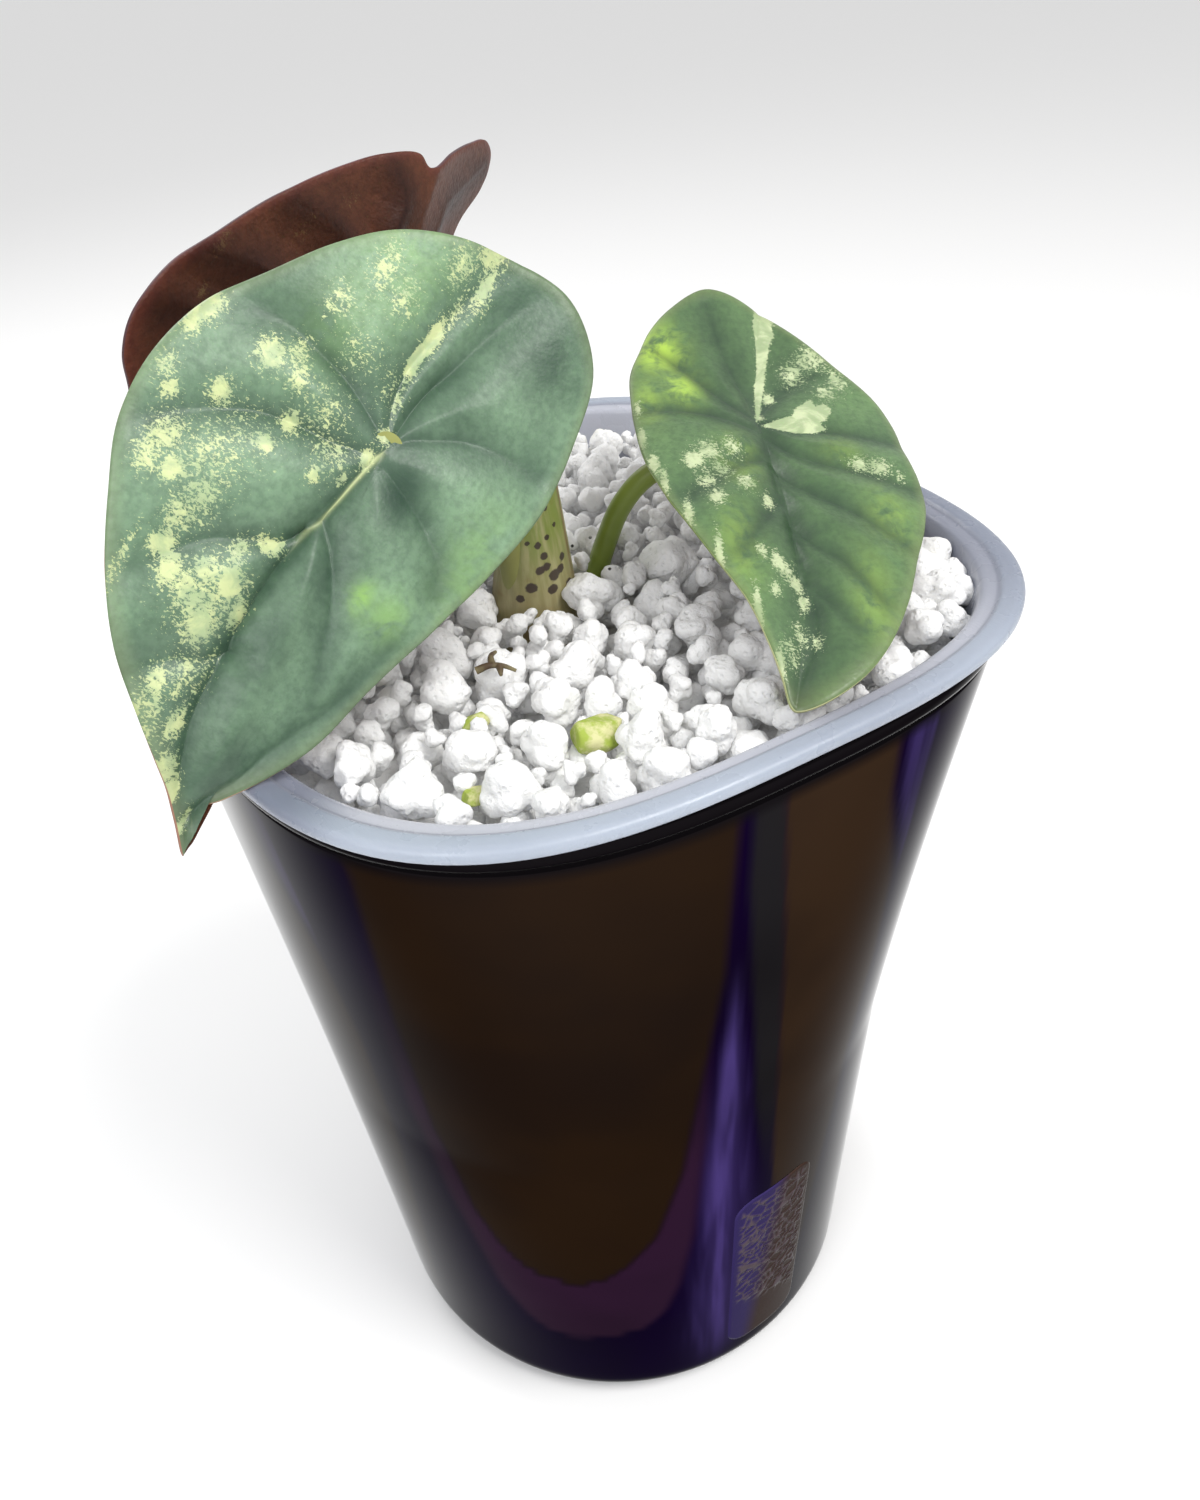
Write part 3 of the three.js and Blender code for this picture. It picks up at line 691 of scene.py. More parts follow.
# %% The three leaves in numbers
LEAVES = {
    "front": dict(
        attach=(-31, -17, 200), tip=(-71, -29.5, 162), facing=(-0.09, -0.92, 0.38),
        half_width=30, arch=9, lobe_lift=6, droop=3, valley=1.5, fold=0, bow=-6.5, turn=-0.2,
        relief=2.1, crease=0.4, fade=1.2,
        outline=[
            (-28, -4), (-24.5, -10.5), (-19, -16), (-12, -21), (-4.5, -26), (4, -28.5), (12.5, -28.5),
            (20.5, -26), (29, -22.5), (36.5, -18), (42.5, -12.5), (46.5, -8.5), (49.5, -5.5),
            (53, -2.7), (56.5, 0), (53, -1.2), (51.2, -1.6), (48, 1), (44, 4), (37, 8), (28, 11),
            (19, 14.5), (8.5, 18.5), (-4, 22), (-12.5, 22), (-23.5, 20), (-30, 12.5), (-30, 4),
        ],
        veins=[
            [(-0.5, -0.3), (-4.5, -1.5), (-9.6, -1.7), (-15.5, -0.5), (-21.1, 0.8), (-28, 2.6)],
            [(-0.9, 0), (-6.8, 1.1), (-12.9, 3.5), (-17.9, 5.2), (-23.3, 7.3), (-28, 9.8)],
            [(0.3, 0.1), (-2, 1.9), (-3.9, 4.9), (-5.9, 8.6), (-6.7, 12.3), (-6.9, 19.1)],
            [(2.4, 0.6), (4, 3.9), (5.9, 7.4), (7.4, 9.4), (9.6, 11.7), (13.6, 13.2)],
            [(11.8, -3), (14.4, -1), (17.8, 0.9), (23, 2.8), (27.5, 3.7), (33, 5)],
            [(-0.6, -1), (-3.5, -5.2), (-5.3, -8.6), (-6.5, -12.7), (-7.3, -16.6), (-6.8, -20.5)],
            [(1.5, -1), (2.7, -6.1), (3, -10.8), (4, -15.6), (6.1, -19.7), (8.4, -23), (11, -25.5)],
            [(13.8, -4.5), (16.3, -6.3), (18.1, -10.2), (19.9, -13.9), (22.5, -16.6), (27.1, -20)],
            [(31.2, -6.2), (33.1, -8), (34.2, -11.1), (36, -13.6), (38.5, -15.7)],
            [(51.4, -1.5), (48.6, -0.6), (45, 1.5), (40.9, 3), (37.7, 4.5), (31, 8), (22, 11)],
        ],
        midrib=[
            (0, 0), (2.5, -0.8), (5.9, -1.7), (9.5, -2.6), (16.4, -4.7), (21, -5.8), (25.9, -6.4),
            (35.8, -6.9), (40.5, -6.7), (45.5, -5.5), (49.7, -3.9), (52.7, -2), (56, 0),
        ],
        stalk=[
            (-7.4, -0.6, 150), (-7.4, -0.6, 166), (-9.5, -0.6, 180), (-18, -3, 194),
            (-30.4, -11.5, 198),
        ],
        stalk_radius=(2.6, 2.1),
    ),
    "right": dict(
        attach=(32, -11, 185), tip=(2.5, -57, 169.6), facing=(-0.04, -0.36, 0.93),
        half_width=26, arch=8, lobe_lift=22, droop=3, valley=1.8, fold=0, bow=2.5, turn=-0.1,
        relief=1.35, crease=0.15, fade=1.2,
        outline=[
            (-31.5, -6.5), (-27, -12.5), (-22, -16), (-16.5, -18), (-10.5, -19.5), (-1, -19.5),
            (8, -19), (14, -18), (21.5, -15.5), (29.5, -12), (36.5, -8.5), (42.5, -5.5), (48.5, -3.5),
            (54, -1.8), (58, -0.5), (58, 2.5), (54.5, 8), (49, 12.5), (41, 16.5), (33.5, 19),
            (24.5, 22), (16.5, 23.5), (7.5, 23), (-1.5, 22.5), (-8.5, 20.5), (-14.5, 16), (-24, 7),
            (-29, 1),
        ],
        veins=[
            [(-0.4, -0.1), (-6.5, -1), (-14, -3), (-21.2, -4.8), (-28, -6.4)],
            [(-0.4, -1), (-4.2, -4.4), (-9, -7.8), (-13, -11.3), (-17, -14.9)],
            [(2.7, -1.1), (0.7, -5.5), (-0.9, -10.2), (-0.9, -15), (0, -18)],
            [(9.7, 0.8), (12.2, -3.2), (16.8, -7.6), (21.4, -11.9)],
            [(20.4, 1.2), (24.6, -1), (28.3, -3.1), (33, -6)],
            [(0.5, 0.5), (2, 3), (3.4, 5.7), (2.7, 10.3), (3, 16.2), (3.5, 21.2)],
            [(4.2, 0.9), (7.9, 3.9), (11.1, 8.1), (12.6, 12), (14.3, 17.7), (16, 21.6)],
            [(9.7, 0.8), (15.7, 3.5), (19.6, 7.4), (22.8, 11.5), (26.4, 15.5), (29.9, 18.8)],
            [(25.1, 2.4), (29.5, 5.1), (32.7, 8.4), (37, 11), (41, 13.5)],
            [(36.8, 3.2), (40.7, 5.8), (46, 9)],
            [(-0.5, 0.4), (-6, 3.4), (-11, 7.5), (-14, 12)],
        ],
        midrib=[
            (0, 0), (8.6, 0.9), (18.4, 1.5), (25.2, 2.1), (31.5, 2.8), (38.3, 3.5), (44.6, 3.9),
            (49.7, 2.8), (54.4, 0.9), (57.4, 0),
        ],
        stalk=[
            (1.5, 1.2, 141), (5.6, 1.5, 147), (7.8, 1.5, 156), (8.4, 1.2, 162), (10, 0.3, 167.5),
            (12.6, -1, 173.5), (16.5, -3, 178), (24, -6, 180.6), (31, -9.2, 181.4),
        ],
        stalk_radius=(2, 1.6),
    ),
    "back": dict(
        attach=(-13.5, 18.5, 206), tip=(-55, 8, 176.5), facing=(-0.25, 0.97, -0.07),
        half_width=28, arch=8, lobe_lift=6, droop=4, valley=1.5, fold=0.85, bow=-5.5, turn=-0.42,
        relief=1.4, crease=0.5, fade=0.2,
        outline=[
            (52, 0), (47, 11), (41, 19), (35, 25), (32, 29), (27, 31.5), (19, 31), (11, 28), (1, 24),
            (-8.5, 19), (-14, 15.5), (-18, 11.5), (-18, 9), (-24, 5.5), (-31, 0.5), (-36, -4),
            (-36.5, -7.5), (-32, -9), (-23, -7.5), (-17, -9.5), (-10, -16), (-1, -20), (8, -22),
            (16, -21.5), (25, -19), (34, -15), (43, -9), (50, -3),
        ],
        veins=[
            [(-1, 1), (-1.6, 6), (-1.5, 12.3), (-0.8, 17.4), (1, 21.4)],
            [(6, -3), (8.5, 8), (10.6, 19.9), (12.5, 23.7), (15.5, 28.7)],
            [(15, -4.5), (18, 8), (21.9, 25.5), (24.9, 29.4)],
            [(26, -5.5), (29, 4), (33, 14), (37, 20)],
            [(-2, 2), (-7.6, 7.9), (-10.8, 9), (-12.8, 11.2), (-13.2, 13.6)],
            [(-1, 0.5), (-8, 1), (-14.5, 0.2), (-18.6, 0.5), (-24.8, -2.4), (-33.1, -6.5)],
            [(2, -2), (-3, -8), (-7, -14)],
            [(5, -3), (5, -10), (7, -18)],
            [(15, -5), (17, -11), (21, -18)],
            [(27, -5.5), (30, -10), (34, -13)],
        ],
        midrib=[
            (0, 0), (6, -2.6), (13, -4.2), (20, -5.2), (26, -5.5), (33, -5), (40, -3.9), (47, -2),
            (51.5, 0),
        ],
        stalk=[(-1.3, 2, 150), (-1.2, 2, 168), (-2, 2, 184), (-6, 5.5, 196), (-12.2, 12.5, 205.5)],
        stalk_radius=(2.7, 2.2),
    ),
}
print("outline points:", {key: len(leaf["outline"]) for key, leaf in LEAVES.items()})


# %% Smooth lines and distances
def smooth_line(points, per_span, closed=False):
    """Points on a centripetal Catmull-Rom curve through the given ones."""
    p = [np.array(q, float) for q in points]
    if closed:
        p = [p[-1], *p, p[0], p[1]]
    else:
        p = [2 * p[0] - p[1], *p, 2 * p[-1] - p[-2]]
    out = []
    for a, b, c, d in zip(p, p[1:], p[2:], p[3:]):
        ta, tb, tc = (max(np.linalg.norm(n - m), 1e-6) ** 0.5 for m, n in ((a, b), (b, c), (c, d)))
        start = tb * ((b - a) / ta - (c - a) / (ta + tb) + (c - b) / tb)
        end = tb * ((c - b) / tb - (d - b) / (tb + tc) + (d - c) / tc)
        for k in range(per_span):
            t = k / per_span
            out.append(
                (2 * t**3 - 3 * t**2 + 1) * b + (t**3 - 2 * t**2 + t) * start
                + (3 * t**2 - 2 * t**3) * c + (t**3 - t**2) * end
            )
    if not closed:
        out.append(p[-2])
    return np.array(out)


def distance_to_line(u, v, line):
    """Shortest distance from each spot to a bent line, and how far along the line that is."""
    here = np.stack([u, v], -1)
    best = np.full(u.shape, np.inf)
    along = np.zeros(u.shape)
    for k, (a, b) in enumerate(zip(line, line[1:])):
        span = b - a
        t = np.clip(((here - a) @ span) / max(span @ span, 1e-9), 0, 1)
        gap = np.linalg.norm(here - a - t[..., None] * span, axis=-1)
        nearer = gap < best
        best = np.where(nearer, gap, best)
        along = np.where(nearer, (k + t) / (len(line) - 1), along)
    return best, along


# %% The height of the sheet
def leaf_frame(leaf):
    """Where a leaf starts, its three directions and its length."""
    origin = Vector(leaf["attach"])
    along = Vector(leaf["tip"]) - origin
    length = along.length
    along.normalize()
    up = Vector(leaf["facing"])
    up = (up - along * up.dot(along)).normalized()
    return origin, along, up.cross(along), up, length


def sheet_height(leaf, length, u, v, veins, midrib):
    share = u / length
    middle = np.where(share > 0, leaf["bow"] * 4 * share * (1 - share), leaf["turn"] * u)
    w = v - middle
    arch, lobes = leaf["arch"] * share, leaf["lobe_lift"] * share**2
    lengthwise = np.where(share > 0, arch * (1 - share), arch + lobes)
    droop = leaf["droop"] * (w / leaf["half_width"]) ** 2
    valley = leaf["valley"] * (1 - np.exp(-np.abs(w) / 6))
    fold = leaf["fold"] * (0.5 * (np.hypot(w, 3) - w) - 1.5)
    groove = np.zeros_like(u)
    for line in veins:
        gap, along = distance_to_line(u, v, line)
        wide = bell(gap, 3) * (1 - 0.6 * along)
        groove = np.maximum(groove, wide + leaf["crease"] * bell(gap, 0.8) * (1 - along))
    gap, along = distance_to_line(u, v, midrib)
    rib = 0.8 * bell(gap, 3) + leaf["crease"] * bell(gap, 0.8)
    groove = np.maximum(groove, rib * (1 - 0.3 * along))
    swell = np.minimum(1, 0.1 + np.hypot(u, v) / 12)
    return lengthwise - droop + valley + fold - leaf["relief"] * swell * groove


print("leaf lengths in mm:", {key: round(leaf_frame(leaf)[4], 1) for key, leaf in LEAVES.items()})

# %% [markdown]
# ## Marks on a leaf
# Two things on a leaf follow its growth and not any plain pattern: the veins and the cream
# variegation. Both are stored as numbers on the mesh's points, an attribute, and the material
# reads them back. The veins' numbers come from the distance to each vein. For the cream, a few
# named patches say where it is strong; the material breaks them up into flecks with noise.

# %% Patches on the leaves: place on the leaf, radius along and across, strength
CREAM = {
    "front": [
        (-16, -0.4, 3.4, 1.1, 1.2), (-11.5, -1.1, 3.2, 0.9, 1.2), (-24.6, 2.6, 4.5, 1.3, 1),
        (-6, -1.2, 3, 0.9, 0.7), (-20, 0.6, 3, 1, 0.8), (-1, -1, 1.6, 1.2, 1), (2.4, -1.8, 1.7, 1, 1.2),
        (-25.5, -1.4, 4, 2.6, 0.75), (-29, 1.5, 3, 2.5, 1), (-19.6, -9.6, 5, 2.2, 0.72),
        (-17.3, -6, 4, 2.5, 0.62), (-13.3, -12.6, 3.2, 2.4, 0.62), (-9, -8, 4, 4, 0.5),
        (-7, -3, 4, 2, 0.5), (-2.9, -17, 2.6, 2.2, 1.05), (-4.4, -14.1, 3, 1.8, 0.8),
        (-1.9, -13, 2.4, 1.6, 0.85), (3.2, -11.6, 2, 1.4, 1.15), (7.2, -13.3, 1.3, 1.2, 1.3),
        (4, -20.1, 2.1, 1.7, 1), (-4.4, -25.4, 2.6, 2, 1.15), (-1.6, -26, 2.6, 1.4, 0.95),
        (4.5, -26.4, 2.4, 1.6, 0.8), (6.6, -25.2, 1.6, 1.4, 1), (11.5, -23.2, 3, 2.8, 0.9),
        (14.4, -24.1, 3, 2, 0.9), (15, -21.1, 1.8, 1.5, 1.25), (7.8, -6.8, 1, 0.9, 1.2),
        (6.2, -3.5, 1, 0.6, 1.2), (12, -18, 6, 5, 0.62), (16.4, -17.2, 4, 3, 0.78),
        (19, -18.2, 3.4, 2.4, 0.8), (8, -16, 6, 5, 0.5), (4, -6, 4, 3.6, 0.62), (0, -9, 5, 4, 0.55),
        (23.1, -18.6, 1.7, 1.7, 1.35), (25.6, -16.5, 2.6, 1.8, 1.1), (26.3, -14.3, 2.8, 2, 0.95),
        (23.7, -12.7, 2.6, 2.2, 0.95), (23.9, -9.9, 2.6, 2.2, 1.12), (26.6, -7.6, 2.4, 1.4, 1.05),
        (29.4, -11, 3.2, 2.4, 1.1), (27, -12, 5, 4.4, 0.8), (20, -10.5, 2.6, 1.4, 0.9),
        (17.6, -7.6, 1.6, 2.2, 1), (37.9, -12.4, 2.6, 1.7, 0.95), (40.5, -11.6, 2.6, 1.6, 0.8),
        (41.7, -8.4, 3, 1.4, 0.95), (36, -10, 4, 3, 0.68), (44.2, -10.6, 2.2, 1.4, 0.72),
        (47.3, -7.2, 2.8, 1.3, 1.2), (49.6, -5.2, 2.4, 1.1, 1.3), (42, -13, 3.4, 0.9, 0.9),
        (34, -8, 3, 1.6, 0.6), (9.7, -18.1, 3, 2.4, 0.6), (28, -21.8, 6, 0.8, 0.7),
        (53, -2.1, 3, 0.7, 1.1),
    ],
    "right": [
        (13.6, -11.1, 2.2, 1.7, 1.25), (11, -8.6, 3, 2.6, 0.85), (17.8, -9.4, 3, 2.2, 0.72),
        (14.8, -6.9, 2.6, 2.4, 0.75), (21, -0.8, 1.8, 1.2, 1), (18.1, -3.8, 2.6, 1.6, 0.85),
        (21.8, -8.3, 2.4, 1.6, 0.9), (9, -5, 3, 2, 0.7), (-6.9, 2.8, 1.8, 1.2, 1.2),
        (-17.4, 11, 3.4, 3, 0.86), (-13, 7.2, 3.6, 2.8, 0.82), (-12.2, 14.4, 4, 2, 0.86),
        (-16.2, 9.4, 3, 2.4, 0.8), (-8, 12, 3, 2.4, 0.72), (-26.4, 4, 2, 1.4, 1.2),
        (-0.9, 0.6, 1.1, 0.9, 1.2), (7.7, -18.4, 2.8, 0.8, 1.3), (14.3, -16.9, 2.6, 0.9, 1.2),
        (18.6, -15.6, 3.6, 0.7, 1), (-1, -18.6, 3, 0.8, 0.8), (26, -12.6, 4.5, 0.8, 1.1),
        (34, -8.9, 5, 0.7, 1.1), (44, -4.4, 5, 0.7, 1.15), (52, -2, 3.4, 0.7, 1.15),
        (34.4, -0.9, 1.8, 1.1, 1.2), (37.6, 1.5, 1.8, 1.2, 1.3), (36, 0.2, 2.4, 1.6, 0.9),
        (39.9, -1.7, 1.3, 0.9, 1.2), (41, 2.2, 2.2, 1.2, 0.95), (32.6, -2.8, 1.8, 1, 0.9),
        (47, 1.1, 2.6, 1.4, 0.82), (47.8, 3.5, 1.7, 1, 0.85), (50, -0.5, 3, 1.6, 0.7),
        (11.3, 17.4, 2.6, 2.4, 0.86), (11.1, 14.4, 2.4, 2, 0.84), (13, 20.5, 2, 1.2, 0.65),
    ],
    "back": [
        (12.5, 27.3, 2.4, 1, 0.7), (18.9, 25.4, 1.6, 1, 0.75), (2.8, 18.7, 3, 1.4, 0.5),
        (-5.6, 15.5, 2.6, 1.2, 0.5),
    ],
}
# Fresh yellow-green
LIME = {
    "front": [
        (18.2, 4.8, 2.2, 1.4, 0.9), (19, 8.6, 3, 3, 0.5), (-22, -8, 9, 6, 0.32), (9, 16, 8, 4, 0.35),
        (-12, -12, 8, 5, 0.25),
    ],
    "right": [
        (-17, -14.6, 5, 3.6, 1), (-7.7, -11.4, 4.6, 3, 0.7), (40, 12, 8, 3, 0.25),
        (24, 17, 6, 3.4, 0.25), (8, 12, 4, 3, 0.2), (-3, -17, 6, 2.2, 0.4), (12, -4, 6, 3, 0.3),
        (32, -6, 8, 3, 0.25),
    ],
    "back": [],
}
# Painted shade: darker patches where lobes, grooves and the midrib's right side lie in shade
PAINTED_SHADE = {
    "front": [
        (-22, 14, 9, 8, 0.9), (-8, 8, 7, 5, 0.5), (4, 3.5, 6, 3.4, 1.05), (-12, -18, 9, 7, 0.5),
        (-26, 6, 7, 7, 0.6), (16, 0, 10, 3.4, 0.75), (30, -2.8, 10, 3.4, 0.7), (44, -1, 9, 4, 0.75),
        (-4, -5, 6, 4, 0.5), (33, -14, 9, 5, 0.4), (46, -8, 8, 4, 0.3), (20, -19, 9, 5, 0.3),
        (-2, -22, 8, 5, 0.3),
    ],
    "right": [
        (3, 1, 6, 5, 0.75), (-12, -3, 9, 4, 0.6), (-22, -6, 8, 6, 0.45), (20, 1, 12, 3.4, 0.65),
        (36, 4, 11, 4, 0.5), (-16, 7, 10, 6, 0.5), (26, 10, 9, 5, 0.3), (50, 6, 7, 5, 0.35),
        (8, 10, 6, 6, 0.3),
    ],
    "back": [(20, 22, 7, 5, 0.5), (4, 14, 7, 3, 0.4), (40, 12, 9, 9, 0.6), (-8, 13, 5, 5, 0.3)],
}
# Cream areas with a clear edge, as outlines
SOLID = {
    "front": [
        [(-17.8, -0.9), (-15, -1.4), (-11.5, -2.2), (-9.6, -1.9), (-12.5, -0.6), (-16.5, 0.5)],
    ],
    "right": [
        [
            (1.4, 1.2), (2.4, 3.2), (3.2, 5.7), (2.8, 8.6), (1.6, 10.6), (0.4, 9.4), (-1.2, 11.2),
            (-3.4, 12), (-4.6, 11.2), (-3.4, 9.6), (-5.6, 9.2), (-4, 7.8), (-2.4, 6.6), (-0.8, 6),
            (0.2, 3.6),
        ],
        [
            (-0.4, 0.3), (-9, 1.1), (-15, 1.9), (-20, 2), (-25, 1.8), (-29.5, 2.4), (-28.4, 5),
            (-25, 4.4), (-22.4, 4.6), (-19.4, 3.6), (-15, 2.9), (-9, 1.9),
        ],
    ],
    "back": [],
}


# %% From patches to strengths
def inside_outline(u, v, outline):
    """True where a spot lies inside a closed outline."""
    inside = np.zeros(len(u), bool)
    for (u0, v0), (u1, v1) in zip(outline, outline[1:] + outline[:1]):
        crosses = (v0 > v) != (v1 > v)
        inside ^= crosses & (u < (u1 - u0) * (v - v0) / (v1 - v0 + 1e-9) + u0)
    return inside


def patch_strength(u, v, patches):
    total = np.zeros_like(u)
    for pu, pv, ru, rv, strength in patches:
        reach = ((u - pu) / ru) ** 2 + ((v - pv) / rv) ** 2
        total = np.maximum(total, strength * np.exp(-0.95 * reach))
    return total


print("cream patches:", {key: len(patches) for key, patches in CREAM.items()})

# %% [markdown]
# ## Building the blade
# The blade is two sheets, upper and lower, 0.8 mm apart, joined by a thin rolled edge. Each
# sheet is the same polar grid, so both sides match point for point. The upper sheet, the
# lower sheet and the edge get their own finishes. The flat place (u, v) becomes the UV map,
# in centimetres, so a pattern in the material follows the leaf wherever it bends.

# %% Numbers on the blade
RINGS = 60
STEPS_PER_SPAN = 11
THICKNESS = 0.8
print("rings in a blade:", RINGS, "and its thickness in mm:", THICKNESS)


def blade_marks(key, u, v, edge, veins, midrib):
    """The numbers that the leaf's material reads."""
    vein_gap = np.full(len(u), 99.0)
    for line in veins:
        gap, share = distance_to_line(u, v, line)
        vein_gap = np.minimum(vein_gap, gap + LEAVES[key]["fade"] * share)
    rib_gap, _ = distance_to_line(u, v, midrib)
    nearest = np.minimum(vein_gap, rib_gap)
    cream = patch_strength(u, v, CREAM[key])
    for outline in SOLID[key]:
        gap, _ = distance_to_line(u, v, np.array(outline + outline[:1], float))
        solid = np.where(inside_outline(u, v, outline), 1.6, 1.35 * np.exp(-gap / 0.35))
        cream = np.maximum(cream, solid)
    return dict(
        # Dark bands along the veins: partly the veins' own colour, partly painted shade in the grooves
        vein=bell(nearest, 2.3),
        thread=bell(np.minimum(vein_gap, rib_gap + 0.1), 0.5),
        rib=bell(rib_gap, 0.36) * (1 - soft_step(8, 19, u)) * soft_step(0.2, 1.5, u),
        # Paler between the veins: partly the leaf's silver, partly a painted sheen on the bulges
        puff=1 - bell(nearest, 5.5),
        rim=np.clip((edge - 0.93) / 0.07, 0, 1),
        # Painted shade from the shade patches
        shade=patch_strength(u, v, PAINTED_SHADE[key]),
        lime=patch_strength(u, v, LIME[key]),
        cream=cream,
    )


# %% Points of the blade
def blade_points(key):
    leaf = LEAVES[key]
    origin, along, across, up, length = leaf_frame(leaf)
    veins = [smooth_line(line, 5) for line in leaf["veins"]]
    midrib = smooth_line(leaf["midrib"], 5)
    margin = smooth_line(leaf["outline"], STEPS_PER_SPAN, closed=True)
    shares = (np.arange(1, RINGS + 1) / RINGS) ** 0.92
    flat = np.vstack([[[0, 0]], (shares[:, None, None] * margin).reshape(-1, 2)])
    u, v = flat.T
    axes = np.array([along, across, up])

    def place(uu, vv):
        height = sheet_height(leaf, length, uu, vv, veins, midrib)
        return np.array(origin) + np.stack([uu, vv, height], 1) @ axes

    step = 0.4
    slope_u = place(u + step, v) - place(u - step, v)
    slope_v = place(u, v + step) - place(u, v - step)
    normal = np.cross(slope_u, slope_v)
    normal /= np.linalg.norm(normal, axis=1, keepdims=True)
    edge = np.zeros(len(u))
    edge[1:] = np.repeat(shares, len(margin))
    half = THICKNESS / 2 * (1 - 0.5 * np.clip((edge - 0.97) / 0.03, 0, 1))
    middle, offset = place(u, v), normal * half[:, None]
    both = np.vstack([middle + offset, middle - offset])
    return both, flat, len(margin), blade_marks(key, u, v, edge, veins, midrib)


# %% The blade as a mesh
def build_blade(name, key, finishes):
    points, flat, count, marks = blade_points(key)
    total = len(flat)
    faces, finish = [], []
    for k in range(count):
        n = (k + 1) % count
        faces += [(0, 1 + k, 1 + n), (total, total + 1 + n, total + 1 + k)]
        for ring in range(RINGS - 1):
            a = 1 + ring * count
            b = a + count
            faces.append((a + k, b + k, b + n, a + n))
            faces.append((total + a + n, total + b + n, total + b + k, total + a + k))
        a = 1 + (RINGS - 1) * count
        faces.append((a + k, total + a + k, total + a + n, a + n))
        finish += [0, 1] * RINGS + [2]
    blade = mesh_piece(name, points, faces, finishes, finish)
    for mark, values in marks.items():
        set_number(blade, mark, np.tile(values, 2))
    uv = blade.data.uv_layers.new(name="leaf_plane")
    corners = np.empty(len(blade.data.loops), np.int32)
    blade.data.loops.foreach_get("vertex_index", corners)
    uv.data.foreach_set("uv", (np.vstack([flat, flat])[corners] / 10).ravel())
    return blade


# %% [markdown]
# ## The leaf surface
# A leaf's green is never flat. This node group mixes it once for all leaves: a soft cloud
# between a darker and a paler green, paler puffs between the veins that are partly a painted
# sheen, dark bands along the veins that are partly painted shade in the grooves, patches of
# painted shade, a thin pale thread on the midrib, and cream flecks. The flecks are noise cut by
# a threshold, and the cream number of each point moves that threshold, so a strong patch becomes
# solid and a weak one only dusts.

# %% The leaf colour group
# Flecks in three sizes: noise scale, threshold, how far the cream number moves it, strength
FLECK_SIZES = ((5.5, 0.83, 0.37, 1.0), (12.0, 0.7, 0.27, 0.92), (27.0, 0.67, 0.24, 0.8))


def leaf_color_group():
    group = bpy.data.node_groups.new("leaf_colors", "ShaderNodeTree")
    recipe = Finish(group)
    given, result = recipe.ends(
        ("INPUT", "Color", "Dark, Green, Pale, Cream, Lime, Rim"),
        # Vein Strength sets the dark vein bands, which are partly painted shade in the grooves
        ("INPUT", "Float", "Seed, Vein Strength, Thread Strength, Fleck Strength, Rib Strength"),
        ("OUTPUT", "Color", "Color"),
        ("OUTPUT", "Float", "Height"),
    )
    mix, step, noise = recipe.mix, recipe.step, recipe.noise

    def times(first, second, clamp=False):
        return recipe.maths("MULTIPLY", first, second, clamp=clamp)

    plane = recipe.add("ShaderNodeUVMap", uv_map="leaf_plane").outputs[0]
    shift = {0: plane, 1: given["Seed"]}
    spot = recipe.add("ShaderNodeVectorMath", shift, operation="ADD").outputs[0]
    thread, shade, cream = (recipe.number(name) for name in ("thread", "shade", "cream"))

    cloud = times(step(noise(spot, 1.6, 4, 0.6), 0.36, 0.66), 0.35)
    # Paler puffs between the veins, partly a painted sheen
    paler = recipe.maths("ADD", times(recipe.number("puff"), 0.75), cloud)
    color = mix(times(paler, 0.95, clamp=True), given["Green"], given["Pale"])
    fine = noise(spot, 9, 3, 0.6)
    color = mix(step(fine, 0.35, 0.7, 0, 0.32), color, given["Dark"])
    soft = noise(spot, 2.6, 4, 0.62, 0.6)
    color = mix(times(recipe.number("lime"), step(soft, 0.3, 0.6), clamp=True), color, given["Lime"])
    ragged = step(soft, 0.25, 0.7, 0.75, 1.25)
    # Dark bands along the veins, partly painted shade in the grooves
    dark = times(times(recipe.number("vein"), given["Vein Strength"]), ragged, clamp=True)
    # Painted shade from the shade patches darkens the green
    dark = recipe.maths("MAXIMUM", dark, times(times(shade, 0.85), ragged, clamp=True))
    dark = recipe.maths("MAXIMUM", dark, times(thread, given["Thread Strength"]))
    color = mix(dark, color, given["Dark"])

    # Flecks are a little longer across the leaf than along it
    longer = {0: spot, 1: (1.2, 0.85, 1)}
    across = recipe.add("ShaderNodeVectorMath", longer, operation="MULTIPLY").outputs[0]
    present = step(cream, 0.04, 0.16)
    flecks = 0.0
    for scale, start, gain, strength in FLECK_SIZES:
        low = recipe.maths("SUBTRACT", start, times(cream, gain))
        high = recipe.maths("ADD", low, 0.03)
        layer = step(noise(across, scale, 5, 0.66, 0.5), low, high, 0.0, strength)
        flecks = recipe.maths("MAXIMUM", flecks, times(layer, present))
    tint = mix(step(soft, 0.4, 0.62, 0, 0.5), given["Cream"], given["Pale"])
    color = mix(times(flecks, given["Fleck Strength"]), color, tint)
    color = mix(times(recipe.number("rib"), given["Rib Strength"]), color, given["Cream"])
    color = mix(times(recipe.number("rim"), 0.3), color, given["Rim"])
    recipe.feed(result["Color"], color)
    relief = recipe.maths("ADD", times(fine, 0.6), times(recipe.cells(spot, 22), 0.3))
    recipe.feed(result["Height"], recipe.maths("SUBTRACT", relief, times(thread, 0.5)))
    return group


LEAF_COLORS = leaf_color_group()
print("nodes in the leaf colour group:", len(LEAF_COLORS.nodes))


